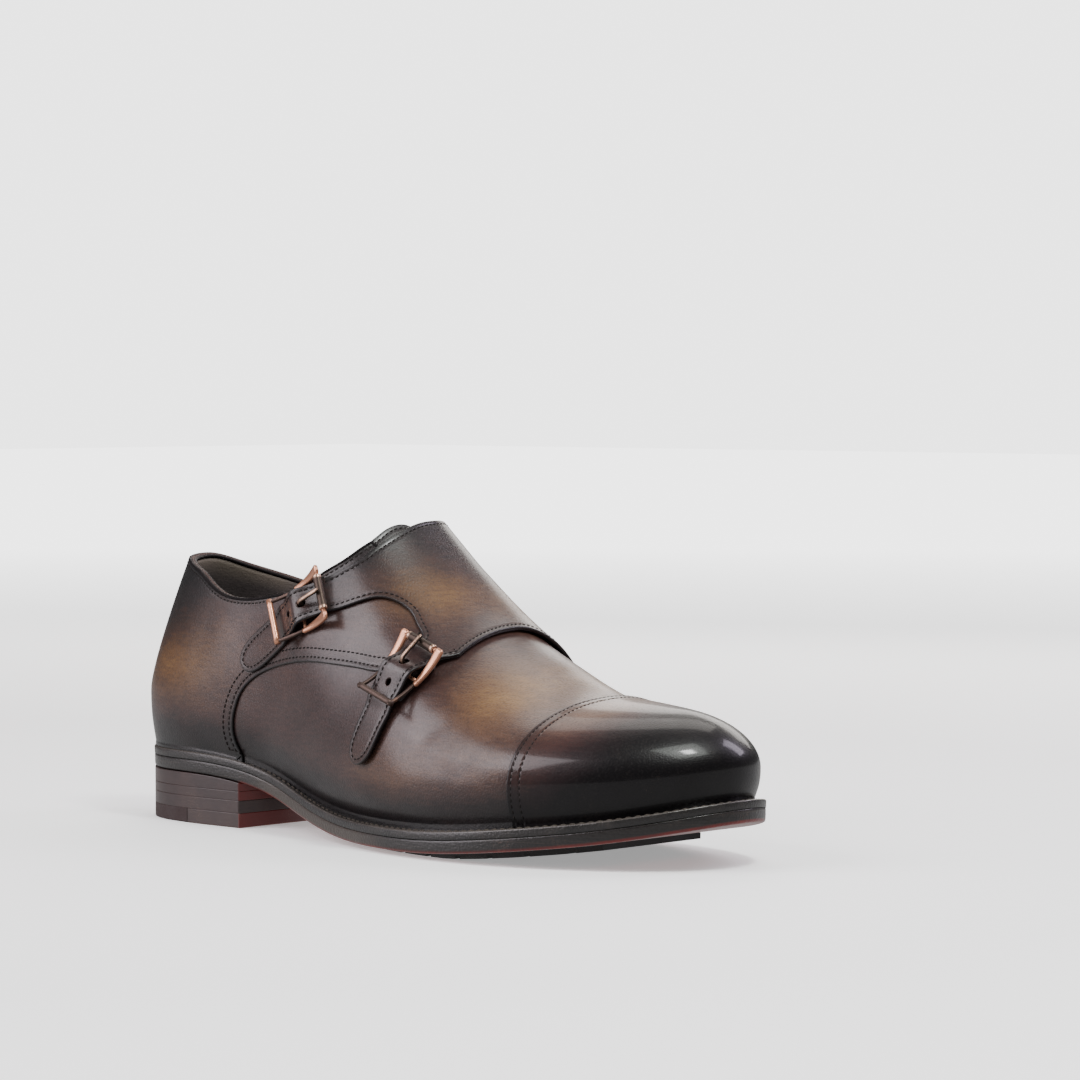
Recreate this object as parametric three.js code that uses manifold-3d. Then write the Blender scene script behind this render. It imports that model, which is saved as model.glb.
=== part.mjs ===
// Double monk strap shoe, right foot, size about EU 42. Millimetres, +X toe, +Y inner side, +Z up.
// Tables measure x from the back of the sole; the whole group is moved so that the origin lies
// on the floor under the middle of the heel. Everything is worked out from one last surface:
// skin(q, v, off), q = distance round the feather line, v = 0 at the feather line to 1 at the ridge.
import * as THREE from 'three';
import { mergeVertices } from 'three/addons/utils/BufferGeometryUtils.js';
import Module from 'manifold-3d';

// driving dimensions
const heelRestX = 36; // middle of the heel's underside, the origin of the part
const gap = 0.3; // between pieces that meet
const wall = 2.2; // upper leather with its lining
const insoleThick = 3; // the last's bottom stands this far above the welt
const weltThick = 3.2;
const soleThick = 5.1; // below the welt
const plateThick = 2.2; // rubber forefoot plate
const capThick = 1.1; // toe cap leather over the vamp
const flapThick = 1.9; // flap and straps, lined
const heelBreast = 71; // front face of the heel
const rubberFront = 41; // front edge of the rubber part of the top lift
const heelRim = 3.7; // welt beyond the feather line at the heel
const foreRim = 7.2; // and at the forefoot
const capBack = 229.5; // rear edge of the toe cap
const throatX = 130; // where the collar meets the ridge
const soleColumns = 56;
const upperColumns = 76;
const upperRows = 10;
const fixedRows = 5; // rows at the same v in every column, below the ones that follow the topline
const fixedTop = 0.4;

// feather line: heel back, outer side, toe, inner side; bulge and wideAt place the widest point of
// the meridian, rise and reach are the lengths of the handles from there to the ridge
const featherColumns = ['x', 'y', 'bulge', 'wideAt', 'rise', 'reach'];
const featherRows = [
  [5.5, 0, 1.6, 19, 0.12, 0.20],
  [14, -18.6, 1.8, 19, 0.13, 0.22],
  [32, -26.1, 2.4, 19, 0.20, 0.35],
  [58, -27.6, 3.4, 19, 0.34, 0.53],
  [88, -28.0, 4.6, 20, 0.46, 0.62],
  [118, -33.2, 5.2, 19, 0.486, 0.629],
  [146, -39.6, 5.0, 17, 0.435, 0.631],
  [172, -45.5, 4.0, 15, 0.535, 0.617],
  [198, -48.0, 3.2, 13, 0.505, 0.597],
  [224, -45.7, 2.8, 12, 0.56, 0.60],
  [248, -38.3, 2.4, 11, 0.545, 0.575],
  [267, -28.4, 2.0, 10, 0.52, 0.53],
  [281.8, -14.9, 1.8, 9.5, 0.50, 0.50],
  [289.3, 3, 1.6, 9.5, 0.50, 0.50],
  [283.8, 18.6, 1.8, 9.5, 0.50, 0.50],
  [270, 29.4, 2.0, 10, 0.52, 0.53],
  [248.4, 37.2, 2.4, 11, 0.545, 0.575],
  [225, 41.6, 2.8, 12, 0.56, 0.60],
  [202, 41.6, 3.2, 14, 0.512, 0.63],
  [176, 36.2, 4.5, 18, 0.67, 0.68],
  [148, 28, 6.5, 24, 0.66, 0.745],
  [118, 22.4, 8.0, 26, 0.556, 0.663],
  [90, 22, 7.0, 24, 0.47, 0.62],
  [60, 25.2, 4.5, 21, 0.34, 0.54],
  [33, 25.8, 2.8, 20, 0.21, 0.36],
  [14, 18.2, 1.8, 19, 0.13, 0.22],
];
const toeRow = 13;

// ridge of the last along the instep: x, y, z
const ridgeRows = [
  [52, 0, 155],
  [80, 2, 158],
  [104, 4, 145],
  [125, 8, 124.5],
  [150, 9.5, 99.3],
  [175, 10.2, 78.8],
  [200, 8.8, 66.2],
  [222, 8, 56.7],
  [245, 6.5, 53.5],
  [266, 5, 51.8],
];

// height of the welt's top: x, z
const treadRows = [
  [-6, 29.0],
  [0, 28.7],
  [30, 28.3],
  [62, 27.2],
  [88, 22.6],
  [115, 15.0],
  [140, 10.8],
  [165, 10.0],
  [190, 10.4],
  [215, 12.2],
  [240, 14.9],
  [265, 18.3],
  [285, 22.3],
  [300, 26.0],
];

// topline of the collar: feather x, then v on the outer and on the inner side
const collarRows = [
  [5.5, 0.591, 0.591],
  [18, 0.580, 0.562],
  [36, 0.545, 0.516],
  [44, 0.522, 0.494],
  [53, 0.486, 0.470],
  [62.6, 0.453, 0.452],
  [72, 0.438, 0.443],
  [83, 0.439, 0.446],
  [96, 0.464, 0.470],
  [107, 0.507, 0.515],
  [114.6, 0.568, 0.580],
  [119.8, 0.623, 0.640],
  [124.8, 0.696, 0.715],
  [128.2, 0.774, 0.800],
];

// straps from the flap to the tip, measured along and beside the buckle's centre bar, and half width
const strapRows = {
  upper: [
    [16, 0, 7.6],
    [10, 0, 6.8],
    [0, 0, 6.8],
    [-9, -0.6, 6.8],
    [-18, -1.5, 6.8],
    [-28, -2.1, 6.7],
    [-35, -2.4, 5.8],
    [-39, -2.5, 3.8],
    [-41, -2.5, 0],
  ],
  lower: [
    [15, -0.4, 7.6],
    [9, 0, 6.8],
    [0, 0, 6.8],
    [-9, 0, 6.8],
    [-17, 0, 6.8],
    [-23, 0.3, 6.8],
    [-28, 0.8, 6.0],
    [-30.6, 1.2, 4.0],
    [-32, 1.5, 0],
  ],
};

// the rest of the flap's outline by feather x and the way across, 0 to 1 up the outer side and
// 1 to 2 down the inner side: from the upper strap along the collar and over the ridge, down
// the inner side, back along the front edge to the lower strap, then the scallop between the straps
const flapTop = [
  [129.6, 0.725],
  [132.4, 0.845],
  [132.8, 0.964],
  [131.9, 1.080],
  [129.6, 1.200],
  [127.6, 1.290],
  [130.0, 1.370],
  [150.0, 1.440],
  [172.0, 1.500],
  [184.5, 1.525],
  [188.0, 1.490],
  [185.5, 1.380],
  [181.5, 1.230],
  [178.6, 1.080],
  [178.2, 0.950],
  [179.2, 0.840],
  [180.4, 0.740],
];
const flapScallop = [
  [160.6, 0.718],
  [155.0, 0.734],
  [148.5, 0.722],
  [142.5, 0.690],
  [137.0, 0.640],
];

// where each buckle's centre bar lies, and a point further up its strap
const buckleRows = [
  { name: 'upper', x: 112.5, across: 0.483, towardX: 127, towardAcross: 0.605 },
  { name: 'lower', x: 168.0, across: 0.560, towardX: 170.5, towardAcross: 0.655 },
];
const buckle = {
  length: 26, // between the end bars' centres, along the strap
  width: 17.9, // between the side bars' centres
  bow: 3.0, // rise of the ends above the centre bar
  barHeight: 4.8, // centre bar's axis above the last
  side: 2.5, // side bar's width
  sideThick: 1.8,
  barRadius: 0.8,
  rollerInner: 1.1,
  rollerOuter: 1.7,
  rollerLength: 14.4,
  prongWide: 1.7,
  prongThick: 1.3,
};
const strapLift = { tab: 1.5, hump: 3.3, humpLength: 4.8, flat: 9.5, end: 15, side: 9, sideEnd: 13 };
const tab = { length: 13, width: 15, inner: 2.6, outer: 3.6, slotLength: 6, slotWidth: 4 };
const strapHole = { radius: 2.1, fromBar: 2.8, spareRadius: 1.3, spareFromBar: -5.2 };

const tongue = { outer: -0.7, inner: -2.2 };
const tongueOutline = [
  [134, 0.80],
  [132, 0.92],
  [132, 1.08],
  [134, 1.20],
  [150, 1.27],
  [185, 1.30],
  [190, 1.20],
  [190, 0.80],
  [185, 0.70],
  [150, 0.73],
];

// ---- curves
function naturalSpline(xs, ys) {
  const n = xs.length;
  const h = xs.slice(1).map((x, i) => x - xs[i]);
  const bend = new Array(n).fill(0);
  const c = new Array(n).fill(0);
  const d = new Array(n).fill(0);
  for (let i = 1; i < n - 1; i++) {
    const r = 6 * ((ys[i + 1] - ys[i]) / h[i] - (ys[i] - ys[i - 1]) / h[i - 1]);
    const m = 2 * (h[i - 1] + h[i]) - h[i - 1] * c[i - 1];
    c[i] = h[i] / m;
    d[i] = (r - h[i - 1] * d[i - 1]) / m;
  }
  for (let i = n - 2; i > 0; i--) {
    bend[i] = d[i] - c[i] * bend[i + 1];
  }
  return (x) => {
    let i = 0;
    while (i < n - 2 && x >= xs[i + 1]) {
      i += 1;
    }
    const a = (xs[i + 1] - x) / h[i];
    const b = (x - xs[i]) / h[i];
    const bent = (a ** 3 - a) * bend[i] + (b ** 3 - b) * bend[i + 1];
    return a * ys[i] + b * ys[i + 1] + (bent * h[i] ** 2) / 6;
  };
}

const column = (rows, i) => rows.map((row) => row[i]);
const smooth = (x, low, high) => THREE.MathUtils.smoothstep(x, low, high);

// chord lengths round the feather line, wrapped at both ends so that the splines close
const wrapRows = 6;
const rowCount = featherRows.length;
const chord = [0];
for (let i = 0; i < rowCount; i++) {
  const a = featherRows[i];
  const b = featherRows[(i + 1) % rowCount];
  chord.push(chord[i] + Math.hypot(b[0] - a[0], b[1] - a[1]));
}
const around = chord[rowCount];
const toeChord = chord[toeRow];
const wrapped = [];
for (let i = -wrapRows; i <= rowCount + wrapRows; i++) {
  wrapped.push({ turn: Math.floor(i / rowCount), row: ((i % rowCount) + rowCount) % rowCount });
}
const featherSplines = featherColumns.map((name, k) => naturalSpline(
  wrapped.map((w) => chord[w.row] + w.turn * around),
  wrapped.map((w) => featherRows[w.row][k]),
));
const ridgeY = naturalSpline(column(ridgeRows, 0), column(ridgeRows, 1));
const ridgeZ = naturalSpline(column(ridgeRows, 0), column(ridgeRows, 2));
const treadZ = naturalSpline(column(treadRows, 0), column(treadRows, 1));
const collarOuter = naturalSpline(column(collarRows, 0), column(collarRows, 1));
const collarInner = naturalSpline(column(collarRows, 0), column(collarRows, 2));

function feather(q) {
  const turn = ((q % around) + around) % around;
  const row = {};
  featherColumns.forEach((name, k) => {
    row[name] = featherSplines[k](turn);
  });
  return row;
}

// distance round the feather line at a given x, on the outer side (side 0) or the inner side (1)
function chordAt(x, side) {
  let low = side ? around : 0;
  let high = toeChord;
  for (let i = 0; i < 60; i++) {
    const mid = (low + high) / 2;
    if (feather(mid).x < x) {
      low = mid;
    } else {
      high = mid;
    }
  }
  return (low + high) / 2;
}

// ---- the last
const ridgeEnds = { back: 52, backSoft: 14, front: 266, frontSoft: 12.5 };
const wideV = 0.22; // v at the widest point of every meridian
const handle = { out: 0.55, low: 0.3, high: 0.5 };

function ridgeX(x) {
  const e = ridgeEnds;
  const lifted = e.back + e.backSoft * Math.log1p(Math.exp((x - e.back) / e.backSoft));
  return e.front - e.frontSoft * Math.log1p(Math.exp((e.front - lifted) / e.frontSoft));
}

function ridgeSlope(x) {
  const step = 0.5;
  return (ridgeZ(x + step) - ridgeZ(x - step)) / (2 * step);
}

function bezier(a, b, c, d, t) {
  const s = 1 - t;
  return a.clone().multiplyScalar(s ** 3).addScaledVector(b, 3 * s * s * t)
    .addScaledVector(c, 3 * s * t * t).addScaledVector(d, t ** 3);
}

function lastPoint(q, v) {
  const f = feather(q);
  const rx = ridgeX(f.x);
  const foot = new THREE.Vector3(f.x, f.y, treadZ(f.x) + insoleThick);
  const ridge = new THREE.Vector3(rx, ridgeY(rx), ridgeZ(rx));
  const out = new THREE.Vector3(foot.x - ridge.x, foot.y - ridge.y, 0);
  const span = out.length() + f.bulge;
  out.normalize();
  const up = new THREE.Vector3(0, 0, 1);
  const wide = foot.clone().addScaledVector(out, f.bulge).addScaledVector(up, f.wideAt);
  if (v < wideV) {
    const low = foot.clone().addScaledVector(out, f.bulge * handle.out);
    low.addScaledVector(up, f.wideAt * handle.low);
    const high = wide.clone().addScaledVector(up, -f.wideAt * handle.high);
    return bezier(foot, low, high, wide, v / wideV);
  }
  const rise = wide.clone().addScaledVector(up, (ridge.z - wide.z) * f.rise);
  const along = new THREE.Vector3(out.x, out.y, ridgeSlope(rx) * out.x);
  const reach = ridge.clone().addScaledVector(along, span * f.reach);
  return bezier(wide, rise, reach, ridge, (v - wideV) / (1 - wideV));
}

function lastNormal(q, v) {
  const top = 0.995;
  if (v > top) {
    return new THREE.Vector3(-ridgeSlope(ridgeX(feather(q).x)), 0, 1).normalize();
  }
  const dq = 0.2;
  const dv = 0.001;
  const at = Math.max(v, 2 * dv);
  const along = lastPoint(q + dq, at).sub(lastPoint(q - dq, at));
  const upward = lastPoint(q, at + dv).sub(lastPoint(q, at - dv));
  return along.cross(upward).normalize();
}

function skin(q, v, off) {
  return lastPoint(q, v).addScaledVector(lastNormal(q, v), off);
}

// the same surface by feather x and the way across both sides
function across(x, w, off) {
  return w <= 1 ? skin(chordAt(x, 0), w, off) : skin(chordAt(x, 1), 2 - w, off);
}

// ---- meshes
function meshFrom(points, triangles) {
  const raw = new THREE.BufferGeometry();
  raw.setAttribute('position', new THREE.Float32BufferAttribute(points.flatMap((p) => [p.x, p.y, p.z]), 3));
  raw.setIndex(triangles.flat());
  return tidy(raw);
}

// welds vertices and drops triangles that have shrunk to a line
function tidy(raw) {
  raw.deleteAttribute('normal');
  raw.deleteAttribute('uv');
  const welded = mergeVertices(raw, 1e-4);
  const index = welded.index.array;
  const kept = [];
  for (let i = 0; i < index.length; i += 3) {
    const [a, b, c] = [index[i], index[i + 1], index[i + 2]];
    if (a !== b && b !== c && a !== c) {
      kept.push(a, b, c);
    }
  }
  welded.setIndex(kept);
  return welded;
}

// loops of equal count, from the bottom cap to the top cap; pairs says which vertices face each other
function ringSolid(loops, pairs) {
  const n = loops[0].length;
  const triangles = [];
  for (let k = 0; k < loops.length - 1; k++) {
    for (let i = 0; i < n; i++) {
      const j = (i + 1) % n;
      const [low, high] = [k * n, (k + 1) * n];
      triangles.push([low + i, low + j, high + j], [low + i, high + j, high + i]);
    }
  }
  const top = (loops.length - 1) * n;
  for (let p = 0; p < pairs.length - 1; p++) {
    const [a, d] = pairs[p];
    const [b, c] = pairs[p + 1];
    triangles.push([top + a, top + b, top + c], [top + a, top + c, top + d]);
    triangles.push([a, c, b], [a, d, c]);
  }
  return meshFrom(loops.flat(), triangles);
}

// splits edges at their middle, alike on both sides, until none is longer than limitAt there
function refine(geometry, limitAt) {
  const points = [];
  const position = geometry.attributes.position;
  for (let i = 0; i < position.count; i++) {
    points.push(new THREE.Vector3().fromBufferAttribute(position, i));
  }
  let faces = [];
  for (let i = 0; i < geometry.index.count; i += 3) {
    faces.push([0, 1, 2].map((k) => geometry.index.getX(i + k)));
  }
  for (let pass = 0; pass < 24; pass++) {
    const middles = new Map();
    const next = [];
    for (const face of faces) {
      const sides = [0, 1, 2].map((k) => points[face[k]].distanceTo(points[face[(k + 1) % 3]]));
      const k = sides.indexOf(Math.max(...sides));
      const [a, b, c] = [face[k], face[(k + 1) % 3], face[(k + 2) % 3]];
      const key = a < b ? `${a} ${b}` : `${b} ${a}`;
      const middle = points[a].clone().add(points[b]).multiplyScalar(0.5);
      if (sides[k] > limitAt(middle) && !middles.has(key)) {
        points.push(middle);
        middles.set(key, points.length - 1);
      }
    }
    if (middles.size === 0) {
      break;
    }
    for (const face of faces) {
      next.push(...splitFace(face, middles));
    }
    faces = next;
  }
  return { points, faces };
}

function splitFace(face, middles) {
  const mid = [0, 1, 2].map((k) => {
    const [a, b] = [face[k], face[(k + 1) % 3]];
    return middles.get(a < b ? `${a} ${b}` : `${b} ${a}`);
  });
  const cut = mid.filter((m) => m !== undefined).length;
  if (cut === 0) {
    return [face];
  }
  if (cut === 3) {
    const [a, b, c] = face;
    const [p, q, r] = mid;
    return [[a, p, r], [p, b, q], [r, q, c], [p, q, r]];
  }
  // turn the face so that its first edge is cut, and its second too where two are
  let k = 0;
  while (mid[k] === undefined || (cut === 2 && mid[(k + 1) % 3] === undefined)) {
    k += 1;
  }
  const [a, b, c] = [face[k], face[(k + 1) % 3], face[(k + 2) % 3]];
  const p = mid[k];
  if (cut === 1) {
    return [[a, p, c], [p, b, c]];
  }
  const q = mid[(k + 1) % 3];
  return [[p, b, q], [a, p, q], [a, q, c]];
}

// a flat outline, thickened from 0 to 1, refined and then laid where place(x, y, depth) says
function laidPiece(shape, limitAt, place) {
  const flat = tidy(new THREE.ExtrudeGeometry(shape, { depth: 1, bevelEnabled: false, curveSegments: 5 }));
  const fine = refine(flat, limitAt);
  return meshFrom(fine.points.map((p) => place(p.x, p.y, p.z)), fine.faces);
}

// ---- joins and cuts
const wasm = await Module();
wasm.setup();

function solid(geometry) {
  return new wasm.Manifold(new wasm.Mesh({
    numProp: 3,
    vertProperties: new Float32Array(geometry.attributes.position.array),
    triVerts: new Uint32Array(geometry.index.array),
  }));
}

function geometryOf(manifold) {
  const mesh = manifold.getMesh();
  const geometry = new THREE.BufferGeometry();
  geometry.setAttribute('position', new THREE.Float32BufferAttribute(mesh.vertProperties, 3));
  geometry.setIndex(Array.from(mesh.triVerts));
  return geometry;
}

function boxAt(sizeX, sizeY, sizeZ, x, y, z) {
  return solid(tidy(new THREE.BoxGeometry(sizeX, sizeY, sizeZ).translate(x, y, z)));
}

const shoe = new THREE.Group();

function addPiece(name, geometry, look) {
  geometry.computeVertexNormals();
  const mesh = new THREE.Mesh(geometry, new THREE.MeshStandardMaterial(look));
  mesh.name = name;
  mesh.position.x = -heelRestX;
  shoe.add(mesh);
}

const looks = {
  upper: { color: 0x4a3024, roughness: 0.32, metalness: 0 },
  toeCap: { color: 0x2a1a15, roughness: 0.16, metalness: 0 },
  strap: { color: 0x35252a, roughness: 0.4, metalness: 0 },
  lining: { color: 0x4b443f, roughness: 0.7, metalness: 0 },
  welt: { color: 0x121214, roughness: 0.5, metalness: 0 },
  sole: { color: 0x6e1510, roughness: 0.45, metalness: 0 },
  heel: { color: 0x3a211c, roughness: 0.45, metalness: 0 },
  rubber: { color: 0x141416, roughness: 0.75, metalness: 0 },
  copper: { color: 0xb07a62, roughness: 0.3, metalness: 1 },
  bronze: { color: 0x3c302c, roughness: 0.4, metalness: 1 },
};

// ---- sole
// a point of the sole's plan, measured outward from the feather line
function planPoint(q, outward) {
  const f = feather(q);
  const step = 0.5;
  const a = feather(q - step);
  const b = feather(q + step);
  const along = new THREE.Vector2(b.x - a.x, b.y - a.y).normalize();
  return new THREE.Vector3(f.x + along.y * outward, f.y - along.x * outward, 0);
}

const rimWidens = { from: 70, to: 170 };
const rimOf = (x) => heelRim + (foreRim - heelRim) * smooth(x, rimWidens.from, rimWidens.to);

// chords round the whole sole, in facing pairs that share one feather x
function pairedChords(count) {
  const half = count / 2;
  const chords = [];
  for (let i = 0; i <= half; i++) {
    chords[i] = (toeChord * i) / half;
  }
  for (let i = 1; i < half; i++) {
    chords[count - i] = chordAt(feather(chords[i]).x, 1);
  }
  return chords;
}

function fullPairs(count) {
  const pairs = [];
  for (let i = 0; i <= count / 2; i++) {
    pairs.push([i, (count - i) % count]);
  }
  return pairs;
}

const soleChords = pairedChords(soleColumns);
const solePairs = fullPairs(soleColumns);

// a loop of the sole at some distance from the feather line and below the welt's top
function soleLoop(inset, drop, fromRim) {
  return soleChords.map((q) => {
    const outward = fromRim ? rimOf(feather(q).x) - inset : -inset;
    const p = planPoint(q, outward);
    p.z = treadZ(p.x) - drop;
    return p;
  });
}

const ledgeInset = 5; // how far the welt reaches in under the upper
const edgeBevel = 1.2;
const edgeStep = 0.2; // the sole's edge lies this far inside the welt's
const weltRound = 0.5;
const soleDrop = weltThick + gap;

function makeOutsole() {
  return ringSolid([
    soleLoop(edgeBevel, weltThick + soleThick, true),
    soleLoop(edgeStep, weltThick + soleThick - edgeBevel, true),
    soleLoop(edgeStep, soleDrop, true),
    soleLoop(ledgeInset + gap, soleDrop, false),
    soleLoop(ledgeInset + gap, 0, false),
  ], solePairs);
}

function makeWelt() {
  const loops = [
    soleLoop(0, weltThick, true),
    soleLoop(0, weltRound, true),
    soleLoop(weltRound, 0, true),
    soleLoop(ledgeInset, 0, false),
    soleLoop(ledgeInset, weltThick, false),
  ];
  return ringSolid([...loops, loops[0]], []);
}

function makeInsole() {
  return ringSolid([soleLoop(2 * gap, -gap, false), soleLoop(2 * gap, -insoleThick, false)], solePairs);
}

addPiece('outsole', makeOutsole(), looks.sole);
addPiece('welt', makeWelt(), looks.welt);
addPiece('insole', makeInsole(), looks.lining);

// ---- heel: flat lifts, and on top of them one wedge lift that follows the sole
// chord at which the rim's x reaches a value, on either side
function rimChordAt(x, side) {
  let low = side ? around : 0;
  let high = toeChord;
  for (let i = 0; i < 50; i++) {
    const mid = (low + high) / 2;
    const here = planPoint(mid, rimOf(feather(mid).x)).x;
    if (here < x) {
      low = mid;
    } else {
      high = mid;
    }
  }
  return (low + high) / 2;
}

const heelSteps = 13;
const heelInset = 0.3; // heel inside the sole's edge

// outline of the heel from its back, where rearX is null, or from rearX, to frontX
function heelLoop(rearX, frontX, heightAt) {
  const sides = [[], []];
  for (const side of [0, 1]) {
    const start = rearX === null ? (side ? around : 0) : rimChordAt(rearX, side);
    const end = rimChordAt(frontX, side);
    for (let i = 0; i <= heelSteps; i++) {
      const q = start + ((end - start) * i) / heelSteps;
      const p = planPoint(q, rimOf(feather(q).x) - heelInset);
      if (i === heelSteps) {
        p.x = frontX;
      }
      if (i === 0 && rearX !== null) {
        p.x = rearX;
      }
      p.z = heightAt(p.x);
      sides[side].push(p);
    }
  }
  const inner = sides[1].reverse();
  if (rearX === null) {
    inner.pop();
  }
  return [...sides[0], ...inner];
}

function heelPairs(rearX) {
  const count = 2 * heelSteps + (rearX === null ? 1 : 2);
  const pairs = [];
  for (let i = 0; i <= heelSteps; i++) {
    pairs.push(rearX === null ? [i, (count - i) % count] : [i, count - 1 - i]);
  }
  return pairs;
}

function heelSlab(rearX, frontX, lowZ, highZ) {
  const loops = [lowZ, highZ].map((z) => heelLoop(rearX, frontX, z));
  return ringSolid(loops, heelPairs(rearX));
}

const flatAt = (z) => () => z;
const liftTops = [5.7, 10.6, 14.3];
const heelLiftNames = ['heel_lift_lower', 'heel_lift_middle'];

const underSole = (x) => treadZ(x) - weltThick - soleThick - gap; // what meets the outsole from below
addPiece('top_lift_rubber', heelSlab(null, rubberFront, flatAt(0), flatAt(liftTops[0])), looks.rubber);
addPiece('top_lift_leather',
  heelSlab(rubberFront + gap, heelBreast, flatAt(0), flatAt(liftTops[0])), looks.heel);
heelLiftNames.forEach((name, i) => {
  const low = flatAt(liftTops[i] + gap);
  addPiece(name, heelSlab(null, heelBreast, low, flatAt(liftTops[i + 1])), looks.heel);
});
addPiece('heel_lift_seat', heelSlab(null, heelBreast, flatAt(liftTops[2] + gap), underSole), looks.heel);

// ---- rubber plate under the forefoot, its lowest part flattened on the floor
const plate = {
  rear: 128,
  front: 262,
  inset: 9,
  endInset: 7, // its four corners are rounded by this much
  grooves: 8,
  grooveWide: 2.4,
  grooveDeep: 1.1,
};
const plateSteps = 16;

function plateLoop(heightAt) {
  const sides = [[], []];
  for (const side of [0, 1]) {
    for (let i = 0; i <= plateSteps; i++) {
      const t = i / plateSteps;
      const x = plate.rear + (plate.front - plate.rear) * t;
      const q = rimChordAt(x, side);
      const ends = plate.endInset * Math.abs(2 * t - 1) ** 6;
      const p = planPoint(q, rimOf(feather(q).x) - plate.inset - ends);
      p.z = heightAt(p.x);
      sides[side].push(p);
    }
  }
  return [...sides[0], ...sides[1].reverse()];
}

function makePlate() {
  const bottomZ = (x) => Math.max(0, underSole(x) - plateThick);
  const pairs = [];
  for (let i = 0; i <= plateSteps; i++) {
    pairs.push([i, 2 * plateSteps + 1 - i]);
  }
  let body = solid(ringSolid([plateLoop(bottomZ), plateLoop(underSole)], pairs));
  for (let i = 0; i < plate.grooves; i++) {
    const x = plate.rear + ((plate.front - plate.rear) * (i + 1)) / (plate.grooves + 1);
    const depth = bottomZ(x) + plate.grooveDeep;
    const tall = 10;
    const acrossAll = 140;
    body = body.subtract(boxAt(plate.grooveWide, acrossAll, tall, x, 0, depth - tall / 2));
  }
  return geometryOf(body);
}

addPiece('forefoot_plate', makePlate(), looks.rubber);

// ---- upper: one hollow shell, open at the collar and underneath
const upperChords = makeUpperChords();

// columns crowd together where the topline climbs to the throat
function makeUpperChords() {
  const half = upperColumns / 2;
  const stations = [8, 16, 24, 33, 42, 52, 62, 72, 82, 92, 101, 109, 115, 119.5, 123.5, 126.7, 128.8, 130];
  const chords = [0, ...stations.map((x) => chordAt(x, 0))];
  const left = half - stations.length;
  const last = chords[chords.length - 1];
  for (let i = 1; i <= left; i++) {
    chords.push(last + ((toeChord - last) * i) / left);
  }
  for (let i = 1; i < half; i++) {
    chords[upperColumns - i] = chordAt(feather(chords[i]).x, 1);
  }
  return chords;
}

function collarV(q) {
  const x = feather(q).x;
  const last = collarRows[collarRows.length - 1];
  const side = q <= toeChord ? 0 : 1;
  if (x >= throatX - 0.01) {
    return 1;
  }
  if (x > last[0]) {
    const t = (x - last[0]) / (throatX - last[0]);
    return THREE.MathUtils.lerp(last[1 + side], 1, 1 - Math.sqrt(1 - t * t));
  }
  return side ? collarInner(x) : collarOuter(x);
}

function rowV(j, top) {
  if (j <= fixedRows) {
    return (fixedTop * j) / fixedRows;
  }
  return fixedTop + ((top - fixedTop) * (j - fixedRows)) / (upperRows - fixedRows);
}

// rows run from the foot of the wall, just above the welt, to the topline or the ridge
function upperLoops(off, open, footDrop) {
  const loops = [upperChords.map((q) => {
    const p = skin(q, 0, off);
    p.z = treadZ(p.x) + footDrop;
    return p;
  })];
  for (let j = 0; j <= upperRows; j++) {
    loops.push(upperChords.map((q) => skin(q, rowV(j, open ? collarV(q) : 1), off)));
  }
  return loops;
}

function makeUpper() {
  const loops = [...upperLoops(wall, true, gap), ...upperLoops(0, true, gap).reverse()];
  const n = upperColumns;
  const rim = upperRows + 1;
  const triangles = [];
  for (let k = 0; k < loops.length; k++) {
    const above = (k + 1) % loops.length;
    for (let i = 0; i < n; i++) {
      const j = (i + 1) % n;
      const closed = collarV(upperChords[i]) === 1 && collarV(upperChords[j]) === 1;
      if (k === rim && closed) {
        continue;
      }
      const [low, high] = [k * n, above * n];
      triangles.push([low + i, low + j, high + j], [low + i, high + j, high + i]);
    }
  }
  return meshFrom(loops.flat(), triangles);
}

// the whole last, swollen by off and closed underneath
function lastForm(off, footDrop) {
  return solid(ringSolid(upperLoops(off, false, footDrop), fullPairs(upperColumns)));
}

function makeToeCap() {
  const outer = lastForm(wall + gap + capThick, gap);
  const inner = lastForm(wall + gap, -weltThick);
  const size = 200;
  const ahead = boxAt(size, size, size, capBack + size / 2, 0, 0);
  return geometryOf(outer.intersect(ahead).subtract(inner));
}

addPiece('upper', makeUpper(), looks.upper);
addPiece('toe_cap', makeToeCap(), looks.toeCap);

// ---- buckles' places
// a frame on the outer side of the last: along points towards the second place, side to its left
function surfaceFrame(place) {
  const origin = across(place.x, place.across, 0);
  const normal = lastNormal(chordAt(place.x, 0), place.across);
  const along = across(place.towardX, place.towardAcross, 0).sub(origin);
  along.addScaledVector(normal, -along.dot(normal)).normalize();
  const side = normal.clone().cross(along);
  return { ...place, origin, normal, along, side };
}
const frames = buckleRows.map(surfaceFrame);

// feather x and way across of the point that lies at s along and b beside a frame's origin
function surfaceUnder(frame, s, b) {
  let x = frame.x;
  let w = frame.across;
  const stepX = 0.5;
  const stepW = 0.005;
  const local = (px, pw) => {
    const d = across(px, pw, 0).sub(frame.origin);
    return [d.dot(frame.along) - s, d.dot(frame.side) - b];
  };
  for (let i = 0; i < 8; i++) {
    const [fs, fb] = local(x, w);
    const [xs, xb] = local(x + stepX, w).map((value, k) => (value - [fs, fb][k]) / stepX);
    const [ws, wb] = local(x, w + stepW).map((value, k) => (value - [fs, fb][k]) / stepW);
    const det = xs * wb - ws * xb;
    x -= (fs * wb - fb * ws) / det;
    w -= (xs * fb - xb * fs) / det;
  }
  return [x, w];
}

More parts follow.
